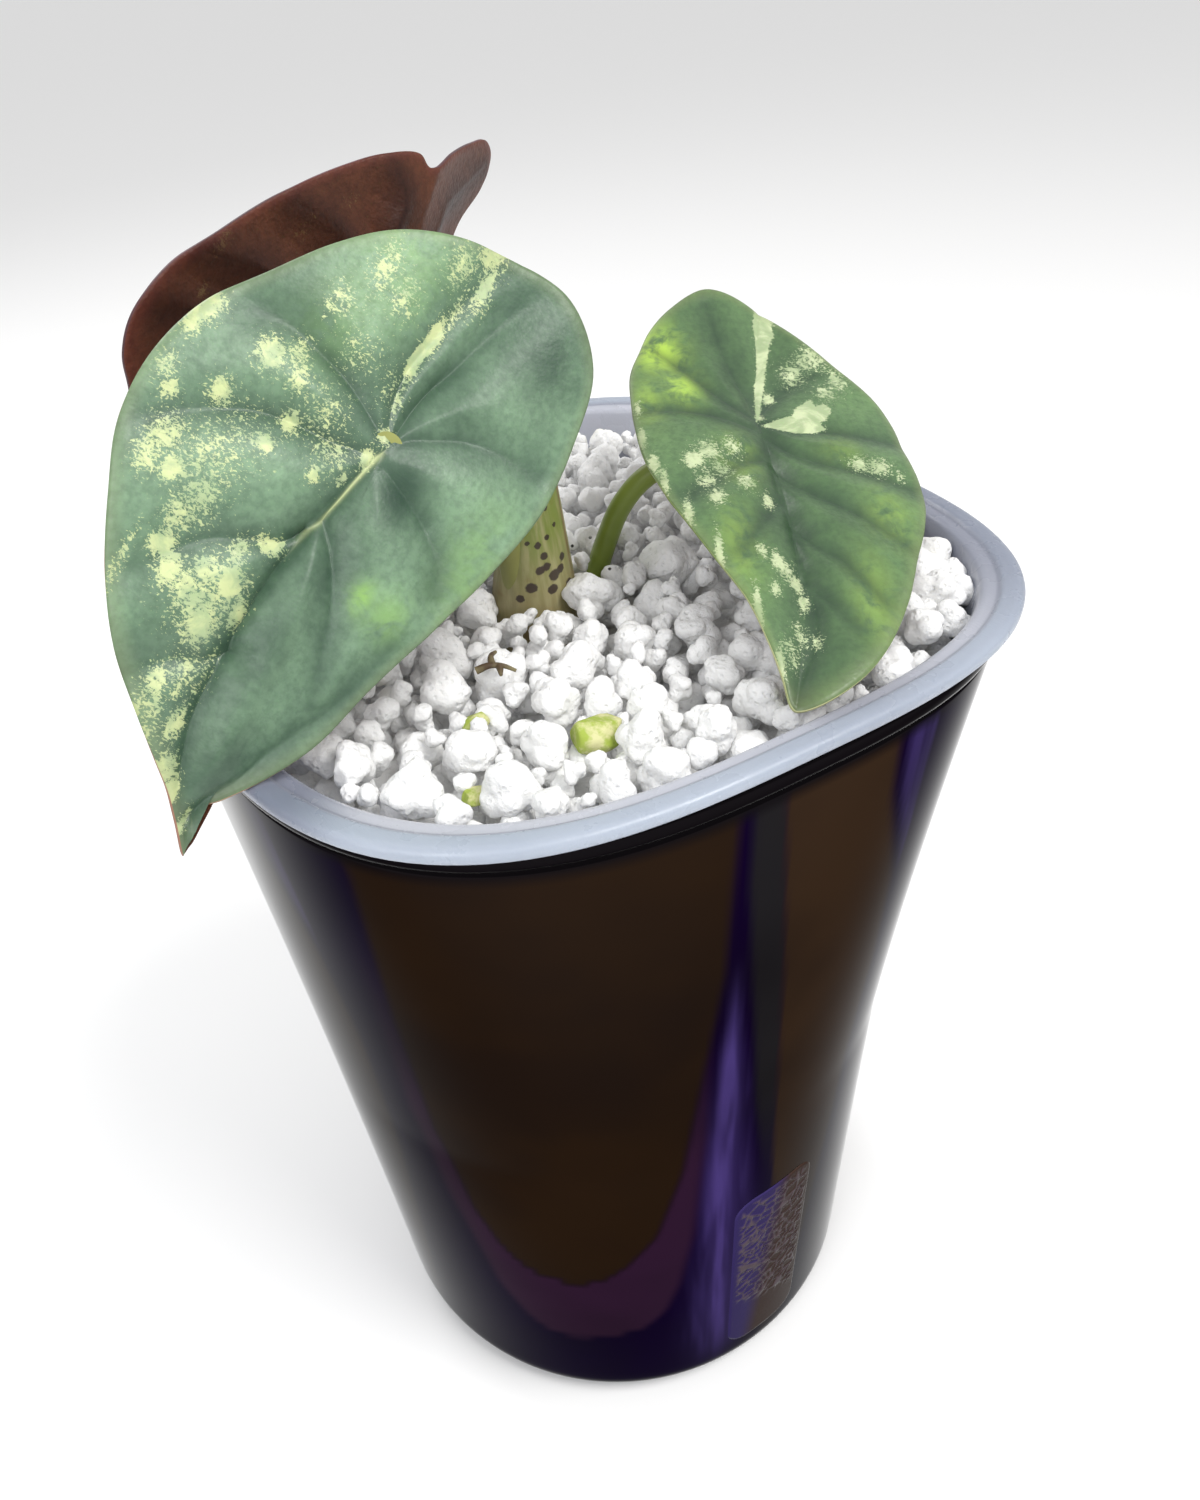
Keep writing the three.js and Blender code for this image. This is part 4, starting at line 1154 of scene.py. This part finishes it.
# %% The leaf finish
def leaf_finish(name, colors, numbers, roughness, specular=0.4, relief=0.12):
    material, recipe = new_material(name)
    group = recipe.add("ShaderNodeGroup", node_tree=LEAF_COLORS)
    for socket, value in {**colors, **numbers}.items():
        recipe.feed(group.inputs[socket], value)
    height = group.outputs["Height"]
    recipe.surface({
        "Base Color": group.outputs["Color"],
        "Roughness": recipe.step(height, 0.2, 0.8, roughness - 0.06, roughness + 0.08),
        "Specular IOR Level": specular,
        "Subsurface Weight": 0.08,
        "Subsurface Scale": 0.0015,
        "Subsurface Radius": (0.4, 1, 0.25),
        "Normal": recipe.bump(height, relief, 0.0006),
    })
    return material


# %% Colours of the leaves, upper and lower side
SILVER_GREEN = {
    "Dark": (0.027, 0.062, 0.038), "Green": (0.1, 0.17, 0.11), "Pale": (0.215, 0.345, 0.21),
    "Cream": (0.58, 0.64, 0.32), "Lime": (0.27, 0.48, 0.12), "Rim": (0.24, 0.26, 0.12),
}
FRESH_GREEN = {
    "Dark": (0.018, 0.043, 0.022), "Green": (0.06, 0.118, 0.052), "Pale": (0.118, 0.215, 0.083),
    "Cream": (0.5, 0.57, 0.34), "Lime": (0.5, 0.74, 0.09), "Rim": (0.26, 0.3, 0.12),
}
MAROON = {
    "Dark": (0.014, 0.004, 0.003), "Green": (0.062, 0.02, 0.0105), "Pale": (0.14, 0.047, 0.023),
    "Cream": (0.2, 0.15, 0.06), "Lime": (0.14, 0.12, 0.04), "Rim": (0.14, 0.03, 0.03),
}


def strengths(seed, vein, thread, fleck, rib):
    return {"Seed": seed, "Vein Strength": vein, "Thread Strength": thread, "Fleck Strength": fleck,
            "Rib Strength": rib}


silver_upper = leaf_finish("silver_leaf", SILVER_GREEN, strengths(3.0, 0.62, 0.5, 0.92, 0.75), 0.42)
fresh_upper = leaf_finish("young_leaf", FRESH_GREEN, strengths(11.0, 0.7, 0.3, 1.0, 0.0), 0.4, 0.45)
maroon_under = leaf_finish("maroon_underside", MAROON, strengths(7.0, 0.5, 0.9, 0.35, 0.0), 0.5, 0.22, 0.3)


# %% Plain finishes for edges and stalks
def plain_finish(name, color, roughness, second, scale=60):
    """A small finish for edges and stalks: two tones in a soft cloud, with a fine grain."""
    material, recipe = new_material(name)
    place = recipe.place()
    cloud = recipe.step(recipe.noise(place, scale, 3), 0.35, 0.65)
    recipe.surface({
        "Base Color": recipe.mix(cloud, color, second),
        "Roughness": roughness,
        "Normal": recipe.bump(recipe.noise(place, scale * 14, 3), 0.15, 0.0003),
    })
    return material


pink_edge = plain_finish("leaf_edge_pink", (0.3, 0.14, 0.09), 0.5, (0.42, 0.36, 0.2))
green_edge = plain_finish("leaf_edge_green", (0.22, 0.3, 0.1), 0.45, (0.5, 0.5, 0.26))
dark_edge = plain_finish("leaf_edge_maroon", (0.05, 0.012, 0.016), 0.45, (0.11, 0.025, 0.03))
print("finishes so far:", len(bpy.data.materials))

# %% The three blades
for key, slot, upper, edge in (
    ("front", "silver_leaf", silver_upper, pink_edge),
    ("right", "young_leaf", fresh_upper, green_edge),
    ("back", "maroon_leaf", silver_upper, dark_edge),
):
    tie(build_blade(key + "_blade", key, [upper, maroon_under, edge]), "leaf_" + key)

# %% [markdown]
# ## Stalks and roots follow a path
# A stalk is a round section carried along a curve, and so is a root. That is a job for
# Geometry Nodes: one tree takes a curve, tapers its radius from the start to the end, sweeps
# a circle along it and closes the ends. Stalks and roots use the same tree with other inputs.

# %% The sweep tree
def finish_and_end(recipe, geometry, given, end):
    """The last nodes of both trees: real faces with a material."""
    real = recipe.add("GeometryNodeRealizeInstances", {"Geometry": geometry})
    inputs = {"Geometry": real.outputs["Geometry"], "Material": given["Finish"]}
    recipe.feed(end, recipe.add("GeometryNodeSetMaterial", inputs).outputs["Geometry"])


def sweep_tree():
    tree = bpy.data.node_groups.new("tapered_sweep", "GeometryNodeTree")
    recipe = Recipe(tree)
    given, result = recipe.ends(
        ("INPUT", "Geometry", "Path"),
        ("INPUT", "Float", "Start Radius, End Radius"),
        ("INPUT", "Int", "Sides"),
        ("INPUT", "Material", "Finish"),
        ("OUTPUT", "Geometry", "Stalk"),
    )
    share = recipe.add("GeometryNodeSplineParameter").outputs["Factor"]
    span = {"Value": share, "To Min": given["Start Radius"], "To Max": given["End Radius"]}
    taper = recipe.add("ShaderNodeMapRange", span).outputs["Result"]
    circle = recipe.add("GeometryNodeCurvePrimitiveCircle", {"Radius": 1, "Resolution": given["Sides"]})
    parts = {"Curve": given["Path"], "Profile Curve": circle.outputs["Curve"], "Fill Caps": True}
    sweep = recipe.add("GeometryNodeCurveToMesh", parts)
    if "Scale" in sweep.inputs:
        recipe.feed(sweep.inputs["Scale"], taper)
    else:
        tapered = {"Curve": given["Path"], "Radius": taper}
        path = recipe.add("GeometryNodeSetCurveRadius", tapered).outputs["Curve"]
        recipe.feed(sweep.inputs["Curve"], path)
    smooth = recipe.add("GeometryNodeSetShadeSmooth", {"Geometry": sweep.outputs["Mesh"]})
    finish_and_end(recipe, smooth.outputs["Geometry"], given, result["Stalk"])
    return tree


SWEEP = sweep_tree()
print("nodes in the sweep tree:", len(SWEEP.nodes))


# %% From a tree to a plain mesh
def grow(holder, tree, values, name):
    """Runs a Geometry Nodes tree on an object and keeps what it makes as a plain mesh."""
    modifier = holder.modifiers.new("grow", "NODES")
    modifier.node_group = tree
    for item in tree.interface.items_tree:
        if item.item_type == "SOCKET" and item.in_out == "INPUT" and item.name in values:
            modifier[item.identifier] = values[item.name]
    bpy.context.view_layer.update()
    graph = bpy.context.evaluated_depsgraph_get()
    piece = bpy.data.objects.new(name, bpy.data.meshes.new_from_object(holder.evaluated_get(graph)))
    scene.collection.objects.link(piece)
    bpy.data.objects.remove(holder)
    return piece


def sweep_along(name, paths, start, end, sides, finish):
    curve = bpy.data.curves.new(name, "CURVE")
    curve.dimensions = "3D"
    for path in paths:
        line = smooth_line(path, 8) * MM
        spline = curve.splines.new("POLY")
        spline.points.add(len(line) - 1)
        for point, spot in zip(spline.points, line):
            point.co = (*spot, 1)
    holder = bpy.data.objects.new(name + "_path", curve)
    scene.collection.objects.link(holder)
    values = {"Start Radius": start * MM, "End Radius": end * MM, "Sides": sides, "Finish": finish}
    return grow(holder, SWEEP, values, name)


# %% The three stalks
olive_stalk = plain_finish("olive_stalk", (0.17, 0.23, 0.03), 0.4, (0.24, 0.32, 0.05), 70)
brown_stalk = plain_finish("brown_stalk", (0.24, 0.24, 0.07), 0.42, (0.3, 0.34, 0.09), 70)
for key, finish in (("front", brown_stalk), ("right", olive_stalk), ("back", brown_stalk)):
    leaf = LEAVES[key]
    origin, _, _, up, _ = leaf_frame(leaf)
    path = [*leaf["stalk"], tuple(origin - up * 0.2)]
    tie(sweep_along(key + "_stalk", [path], *leaf["stalk_radius"], 32, finish), "leaf_" + key)

# %% [markdown]
# ## The stem base
# Old leaf bases wrap the stem in sheaths: cream where they leave the perlite, yellow-green
# above, and dotted with dark oval spots. The form is a loft with fine rings. The spots are a
# number on the points again: each one is a small oval at an angle and a height.

# %% The stem in numbers
# Height, radius and middle of the stem
STEM_LEVELS = [
    (127, 3, -4), (130, 6, -4), (137, 7.2, -4), (145, 7, -4), (151, 7.6, -4), (161, 7.4, -4),
    (170, 6.2, -3.4), (178, 5, -2.8), (186, 3.9, -2.4),
]
# Angle, height and size of each spot
SPOTS = [
    (-91, 178.6, 1.1), (-93, 174, 0.9), (-127, 173.6, 0.8), (-110, 173.1, 1.1), (-101, 171.3, 1.2),
    (-98, 169.6, 1.2), (-109, 169.2, 1.3), (-67, 170.1, 1.2), (-74, 168.4, 1.4), (-87, 167.9, 1.7),
    (-122, 166.6, 1.6), (-92, 165.8, 1.5), (-150, 170.5, 1), (-138, 164.8, 1.2), (-60, 165.4, 1.3),
    (-75, 175.5, 0.8), (10, 172, 1.2), (40, 167, 1.5), (75, 170, 1.2), (110, 174, 1), (150, 168, 1.4),
]
STEM_FOOT, STEM_TOP = 127, 186
print("spots on the stem:", len(SPOTS))


# %% The stem's finish
def stem_finish():
    material, recipe = new_material("stem")
    place = recipe.place()
    height = recipe.maths("MULTIPLY", recipe.add("ShaderNodeSeparateXYZ", {0: place}).outputs["Z"], 1000)
    lines = recipe.noise(recipe.stretched(place, (700, 700, 45)), 1, 3)
    tone = recipe.maths("ADD", height, recipe.maths("MULTIPLY", lines, 8))
    color = recipe.mix(recipe.step(tone, 166, 180), (0.3, 0.26, 0.12), (0.2, 0.25, 0.05))
    color = recipe.mix(recipe.step(lines, 0.4, 0.7, 0, 0.6), color, (0.46, 0.41, 0.23))
    stain = recipe.noise(place, 160, 3, 0.6)
    color = recipe.mix(recipe.step(stain, 0.52, 0.66, 0, 0.5), color, (0.2, 0.12, 0.05))
    rough_edge = recipe.maths("MULTIPLY", recipe.noise(place, 1400, 2), 0.3)
    spot = recipe.step(recipe.maths("ADD", recipe.number("spot"), rough_edge), 0.55, 0.75)
    color = recipe.mix(recipe.maths("MULTIPLY", spot, 0.9), color, (0.028, 0.012, 0.016))
    recipe.surface({
        "Base Color": recipe.mix(recipe.number("dry"), color, (0.17, 0.075, 0.035)),
        "Roughness": 0.38,
        "Subsurface Weight": 0.1,
        "Subsurface Scale": 0.002,
        "Normal": recipe.bump(lines, 0.25, 0.0005),
    })
    return material


# %% The stem base
def stem_base(segments=128, rings=120):
    z = np.linspace(STEM_FOOT, STEM_TOP, rings)
    line = smooth_line(STEM_LEVELS, 12)
    radius = np.interp(z, line[:, 0], line[:, 1])
    centre = np.interp(z, line[:, 0], line[:, 2])
    angle = np.arange(segments) * 2 * math.pi / segments
    # Sheaths overlap: the wall steps out once round the stem, and the step climbs
    climb = (angle[None, :] / (2 * math.pi) + (z[:, None] - STEM_FOOT) / 90) % 1
    step = 0.35 * np.clip((0.12 - np.abs(climb - 0.12)) / 0.12, 0, 1) ** 0.5
    above = np.clip((z[:, None] - 150) / 12, 0, 1)
    reach = radius[:, None] - 0.35 * above + step * above
    x = centre[:, None] + reach * np.cos(angle)
    y = 1 + reach * np.sin(angle)
    points = np.stack([x, y, np.repeat(z[:, None], segments, 1)], -1).reshape(-1, 3)
    points = np.vstack([[[centre[0], 1, STEM_FOOT]], points, [[centre[-1], 1, STEM_TOP]]])
    piece = mesh_piece("stem_sheaths", points, rings_to_faces(rings, segments), [stem_finish()])
    x, y, height = points.T
    degrees = np.degrees(np.arctan2(y - 1, x - np.interp(height, z, centre)))
    spot = np.zeros(len(points))
    for spot_angle, spot_z, size in SPOTS:
        side = ((degrees - spot_angle + 180) % 360 - 180) * math.pi / 180 * 6.5
        oval = (side / (0.75 * size)) ** 2 + ((height - spot_z) / (0.6 * size)) ** 2
        spot = np.maximum(spot, np.exp(-oval))
    set_number(piece, "spot", spot)
    set_number(piece, "dry", 0.8 * bell(degrees + 44, 5) * np.clip((height - 163) / 8, 0, 1))
    return piece


tie(stem_base(), "stem_base")

# %% Six short roots
root_paths = []
for k in range(6):
    c, s = math.cos(k * math.pi / 3), math.sin(k * math.pi / 3)
    root_paths.append([
        (-4 + 3 * c, 1 + 3 * s, 134), (-4 + 5.6 * c, 1 + 4.6 * s, 126),
        (-3 + 7 * c, 1 + 5 * s, 112), (-1 + 6.5 * c, 1 + 5 * s, 99 - 3 * (k % 2)),
    ])
pale_root = plain_finish("pale_root", (0.5, 0.42, 0.28), 0.7, (0.36, 0.27, 0.15))
tie(sweep_along("stem_roots", root_paths, 1.1, 0.7, 12, pale_root), "stem_base")

# %% [markdown]
# ## Perlite
# Perlite is volcanic glass popped by heat into white, knobbly grains. A grain is modelled as
# a few balls grown together: every direction of a fine ball is pushed out to the farthest of
# some smaller balls, which leaves creases between them like on a cauliflower floret. A few
# flats and wrinkles break it. Fourteen large grains, fourteen small ones and six simple ones
# for the depth are enough, because each copy is turned and stretched.

# %% The perlite's finish
def perlite_finish():
    material, recipe = new_material("perlite")
    place = recipe.place()
    tone = recipe.step(recipe.noise(place, 70, 3), 0.35, 0.7)
    color = recipe.mix(tone, (0.87, 0.87, 0.865), (0.94, 0.94, 0.935))
    stain = recipe.step(recipe.noise(place, 38, 2), 0.66, 0.8, 0, 0.35)
    color = recipe.mix(stain, color, (0.72, 0.68, 0.44))
    near = recipe.step(recipe.cells(place, 260), 0.1, 0.06)
    rare = recipe.step(recipe.noise(place, 55, 1), 0.6, 0.64)
    pit = recipe.maths("MULTIPLY", recipe.step(recipe.cells(place, 900), 0.1, 0.4), 0.25)
    rough = recipe.maths("ADD", recipe.noise(place, 420, 5, 0.62), pit)
    recipe.surface({
        "Base Color": recipe.mix(recipe.maths("MULTIPLY", near, rare), color, (0.04, 0.04, 0.035)),
        "Roughness": 0.82,
        "Subsurface Weight": 0.25,
        "Subsurface Scale": 0.0025,
        "Subsurface Radius": (1, 0.97, 0.9),
        "Normal": recipe.bump(rough, 0.7, 0.0011),
    })
    return material


PERLITE = perlite_finish()
print("nodes in the perlite's finish:", len(PERLITE.node_tree.nodes))

# %% The grain shapes
draw = random.Random(11)


def unit_ball(subdivisions):
    grid = bmesh.new()
    bmesh.ops.create_icosphere(grid, subdivisions=subdivisions, radius=1)
    grid.verts.ensure_lookup_table()
    points = np.array([v.co[:] for v in grid.verts])
    faces = [tuple(v.index for v in f.verts) for f in grid.faces]
    grid.free()
    return points / np.linalg.norm(points, axis=1, keepdims=True), faces


def any_way():
    """A random direction."""
    return np.array(Vector((draw.gauss(0, 1), draw.gauss(0, 1), draw.gauss(0, 1))).normalized())


def knobbly(points, lumps, facets):
    """Pushes each direction out to the farthest of some balls, cuts flats, and wrinkles it."""
    reach = np.full(len(points), 0.6)
    for _ in range(lumps):
        centre = any_way() * draw.uniform(0.36, 0.58)
        radius = draw.uniform(0.38, 0.56)
        along = points @ centre
        inside = radius**2 - centre @ centre + along**2
        out = along + np.sqrt(np.maximum(inside, 0))
        reach = np.where(inside > 0, np.maximum(reach, out), reach)
    for _ in range(facets):
        along = points @ any_way()
        reach = np.minimum(reach, draw.uniform(0.66, 0.86) / np.maximum(along, 0.2))
    for _ in range(5):
        wave = points @ (any_way() * draw.uniform(5, 10)) + draw.uniform(0, 6)
        reach = reach * (1 + 0.028 * (np.abs(np.sin(wave)) - 0.64))
    return points * reach[:, None]


def grain_shapes(name, count, subdivisions, lumps, facets):
    home = bpy.data.collections.new(name)
    points, faces = unit_ball(subdivisions)
    for k in range(count):
        mesh = bpy.data.meshes.new(f"{name}_{k:02d}")
        mesh.from_pydata(knobbly(points, lumps, facets).tolist(), [], faces)
        mesh.polygons.foreach_set("use_smooth", [True] * len(faces))
        home.objects.link(bpy.data.objects.new(mesh.name, mesh))
    return home


large_shapes = grain_shapes("large_grain", 14, 4, 9, 5)
small_shapes = grain_shapes("small_grain", 14, 3, 6, 5)
deep_shapes = grain_shapes("deep_grain", 6, 2, 5, 3)

# %% [markdown]
# ## Letting the grains settle
# A heap looks right when every grain rests on others. Each new grain is tried at a handful of
# random spots; at each spot the grains already there say how high it would come to rest, and
# it stays at the lowest. Large grains that the eye notices are placed first.

# %% Places in the heap
BED_TOP = 158.5
HIGHEST = 167.2
# Place and radius of large grains that stand out; their height comes from those below
NOTICED = [
    (17.4, -7, 5.7), (-24.6, -38.8, 4.4), (-34, -33.5, 3.9), (8.3, -27.1, 4.3), (11, -37.6, 4.5),
    (-1.5, -23.7, 3.6), (-11.5, -25, 4.1), (-25, -9, 4.4), (33.5, -44, 4.6), (43.5, -36, 4.8),
    (49, -27, 4.4), (22, -50, 4.3), (-42.9, -37, 4.4), (-47.5, -28, 3.6), (-33.7, -44, 4.3),
    (-13.7, -45.5, 4), (-5, -50.5, 3.8), (4, -48, 4.4), (31, 23.8, 4.6), (36.5, 42, 4.2),
    (18.5, 11, 4.2), (27, -15, 4.4), (-29, -18, 4), (-22, 3, 4), (5, -54.5, 3.4), (48, 5, 4.8),
    (14, 42, 4.2), (-10, 46, 4), (-34, 36, 4.2), (-46, 12, 4), (50, -8, 4.6),
]
# Grains along the front right wall, with their height
WALL_GRAINS = [
    (50.3, -33.3, 164.9, 4.8), (54.2, -22, 165, 4.5), (42, -42, 164.7, 4.6), (54.8, -11, 165, 4.6),
    (46.5, -25, 165.4, 4.4), (33, -48.5, 164.5, 4.4), (39.8, -48, 163.6, 3), (46.2, -42.6, 163.6, 3),
    (22.5, -53.2, 164.4, 4), (55, 2, 164.4, 4.4), (51, -16, 165.2, 3.6), (48.6, -38.2, 163.4, 3.2),
]
# The green grain's place is kept for it
GREEN_PLACE = (-17.6, -40, 163.2, 3.7)
print("grains that stand out:", len(NOTICED), "along the wall:", len(WALL_GRAINS))


# %% Resting one grain on others
def taken_by_stem(x, y, r):
    """The stem and the right leaf's stalk keep their place."""
    return math.hypot(x + 4, y - 1) < 7.2 + 0.55 * r or math.hypot(x - 8.4, y - 1.2) < 2 + 0.5 * r


def rest_height(x, y, r, heap, base):
    if not heap:
        return base
    near = np.array(heap)
    gap = np.hypot(near[:, 0] - x, near[:, 1] - y)
    touch = 0.84 * (near[:, 3] + r)
    lift = np.where(gap < touch, near[:, 2] + np.sqrt(np.maximum(touch**2 - gap**2, 0)), base)
    return float(lift.max())


def settle(heap, count, low, high, base, ceiling, tries):
    placed = []
    for _ in range(count):
        r = low + (high - low) * draw.random() ** 1.6
        half = liner_half(BED_TOP) - 0.85 * r
        best = None
        for _ in range(tries):
            x, y = draw.uniform(-56, 56), draw.uniform(-58, 58)
            if squared_share(x, y, half, liner_power(BED_TOP)) > 1 or taken_by_stem(x, y, r):
                continue
            z = rest_height(x, y, r, heap, base)
            if best is None or z < best[2]:
                best = (x, y, z)
        if best and best[2] + 0.75 * r < ceiling:
            placed.append((*best, r))
            heap.append(placed[-1])
    return placed


# %% The heap
heap = []
deep_grains = settle(heap, 330, 2.6, 3.8, 156, 162.5, 14)
small_grains = settle(heap, 200, 2.2, 4.0, 157, 165.5, 24)
heap.append(GREEN_PLACE)
large_grains = list(WALL_GRAINS)
heap += large_grains
for x, y, r in NOTICED:
    z = min(rest_height(x, y, r, heap, 157), HIGHEST - 0.75 * r)
    heap.append((x, y, z, r))
    large_grains.append((x, y, z, r))
large_grains += settle(heap, 90, 3.3, 4.8, 158, HIGHEST, 40)
small_grains += settle(heap, 170, 1.9, 3.2, 158, 167.4, 40)
small_grains += settle(heap, 160, 1.3, 2.1, 158, HIGHEST, 40)
print("grains: deep", len(deep_grains), "small", len(small_grains), "large", len(large_grains))
print("middle height of the large ones:", round(float(np.median([g[2] for g in large_grains])), 1))

# %% [markdown]
# ## Placing the copies
# Geometry Nodes put a grain on every point of the heap. The points carry the size, and the
# tree draws the turn and the stretch from a fixed seed, so that every run gives the same heap;
# the shape goes by each point's number. Realize Instances makes real faces of the copies at the end.

# %% The scatter tree
def scatter_tree():
    tree = bpy.data.node_groups.new("grain_scatter", "GeometryNodeTree")
    recipe = Recipe(tree)
    given, result = recipe.ends(
        ("INPUT", "Geometry", "Places"),
        ("INPUT", "Collection", "Shapes"),
        ("INPUT", "Int", "Seed"),
        ("INPUT", "Float", "Stretch"),
        ("INPUT", "Material", "Finish"),
        ("OUTPUT", "Geometry", "Grains"),
    )

    def random_vector(low, high):
        inputs = {"Min": low, "Max": high, "Seed": given["Seed"]}
        return recipe.add("FunctionNodeRandomValue", inputs, data_type="FLOAT_VECTOR").outputs["Value"]

    one_of = {"Collection": given["Shapes"], "Separate Children": True, "Reset Children": True}
    shapes = recipe.add("GeometryNodeCollectionInfo", one_of).outputs[0]
    turn = random_vector((0, 0, 0), (2 * math.pi, 2 * math.pi, 2 * math.pi))
    low = recipe.maths("SUBTRACT", 1, given["Stretch"])
    high = recipe.maths("ADD", 1, given["Stretch"])
    size = recipe.add("GeometryNodeInputNamedAttribute", {"Name": "size"}).outputs["Attribute"]
    sized = {0: random_vector(low, high), "Scale": size}
    scale = recipe.add("ShaderNodeVectorMath", sized, operation="SCALE").outputs[0]
    copies = recipe.add("GeometryNodeInstanceOnPoints", {
        "Points": given["Places"], "Instance": shapes, "Pick Instance": True,
        "Rotation": turn, "Scale": scale,
    })
    finish_and_end(recipe, copies.outputs["Instances"], given, result["Grains"])
    return tree


SCATTER = scatter_tree()
print("nodes in the scatter tree:", len(SCATTER.nodes))


# %% The grains of the heap
def scatter(name, grains, shapes, seed, stretch):
    holder = mesh_piece(name + "_places", [grain[:3] for grain in grains], [])
    set_number(holder, "size", [grain[3] * MM for grain in grains])
    values = {"Shapes": shapes, "Seed": seed, "Stretch": stretch, "Finish": PERLITE}
    tie(grow(holder, SCATTER, values, name), "perlite_bed")


scatter("perlite_large", large_grains, large_shapes, 5, 0.18)
scatter("perlite_small", small_grains, small_shapes, 6, 0.22)
scatter("perlite_deep", deep_grains, deep_shapes, 8, 0.12)

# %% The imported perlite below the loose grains
fill_shape = [(35, -1.6)] + [(z, -0.6) for z in (36, 60, 85, 100, 120, 140, 155.5)] + [(156, -2)]
fill_levels = [(liner_half(z) + out, z, liner_power(z)) for z, out in fill_shape]
packed = loft("perlite_fill", fill_levels, PERLITE)
cut(packed, loft("stem_hole_cutter", [(11.7, 92, 3), (11.7, 180, 3)], PERLITE, 48, ratio=0.72, x=-0.6, y=1))
tie(packed, "perlite_bed")

# %% [markdown]
# ## One green grain
# Algae tint a grain that stays wet. It is a broken, wedge-like piece, so its ball is squashed
# and cut by a few flat planes before its skin is roughened.

# %% The green grain
def green_finish():
    material, recipe = new_material("green_perlite")
    tone = recipe.noise(recipe.place(), 320, 4, 0.65)
    recipe.surface({
        "Base Color": recipe.mix(recipe.step(tone, 0.4, 0.6), (0.33, 0.42, 0.06), (0.6, 0.59, 0.3)),
        "Roughness": 0.8,
        "Normal": recipe.bump(tone, 0.5, 0.0008),
    })
    return material


def broken_grain(name, centre, sizes, finish, cuts):
    points, faces = unit_ball(4)
    for _ in range(cuts):
        plane = any_way()
        over = np.maximum(points @ plane - draw.uniform(0.45, 0.75), 0)
        points = points - over[:, None] * plane
    return mesh_piece(name, points * np.array(sizes) + np.array(centre), faces, [finish])


GREEN = green_finish()
green_grain = broken_grain("green_grain_shape", (-17.4, -40, 163.6), (4.7, 3.1, 3), GREEN, 9)
tie(green_grain, "green_grain")

# %% [markdown]
# ## Litter
# A few small things make the bed look used: slivers of green perlite at the edges of grains and
# a dry brown scrap of old leaf sheath. The scrap is three short twigs from the sweep tree.

# %% Green bits and a dry scrap
# Place and size of each bit
GREEN_BITS = [
    (-29.6, -28, 164, 1.7), (7.2, -53.2, 166, 2.1), (-37, -42, 163.4, 1.5), (30, -40, 163, 1.5),
]
for k, (x, y, z, size) in enumerate(GREEN_BITS):
    bit = broken_grain(f"green_bit_{k}", (x, y, z), (1.3 * size, size, 0.8 * size), GREEN, 5)
    tie(bit, "perlite_bed")
twigs = [
    [(-25.4, -20.9, 166.8), (-23.6, -21.6, 167.3), (-21.9, -22.7, 167.1), (-20.7, -24, 166.5)],
    [(-23.2, -21.8, 167.2), (-22.6, -20.3, 167.8), (-21.4, -19.5, 167.7)],
    [(-22.4, -22.4, 167.1), (-23.1, -24, 166.7)],
]
dry_brown = plain_finish("dry_brown", (0.07, 0.04, 0.018), 0.6, (0.2, 0.17, 0.08), 300)
tie(sweep_along("dry_scrap", twigs, 0.6, 0.25, 8, dry_brown), "perlite_bed")

# %% Sizes of what is shown
model_box = [list(corner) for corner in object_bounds()]
for low, high, name in zip(*model_box, "xyz"):
    print("visual", name, round(low * 1000, 1), round(high * 1000, 1))
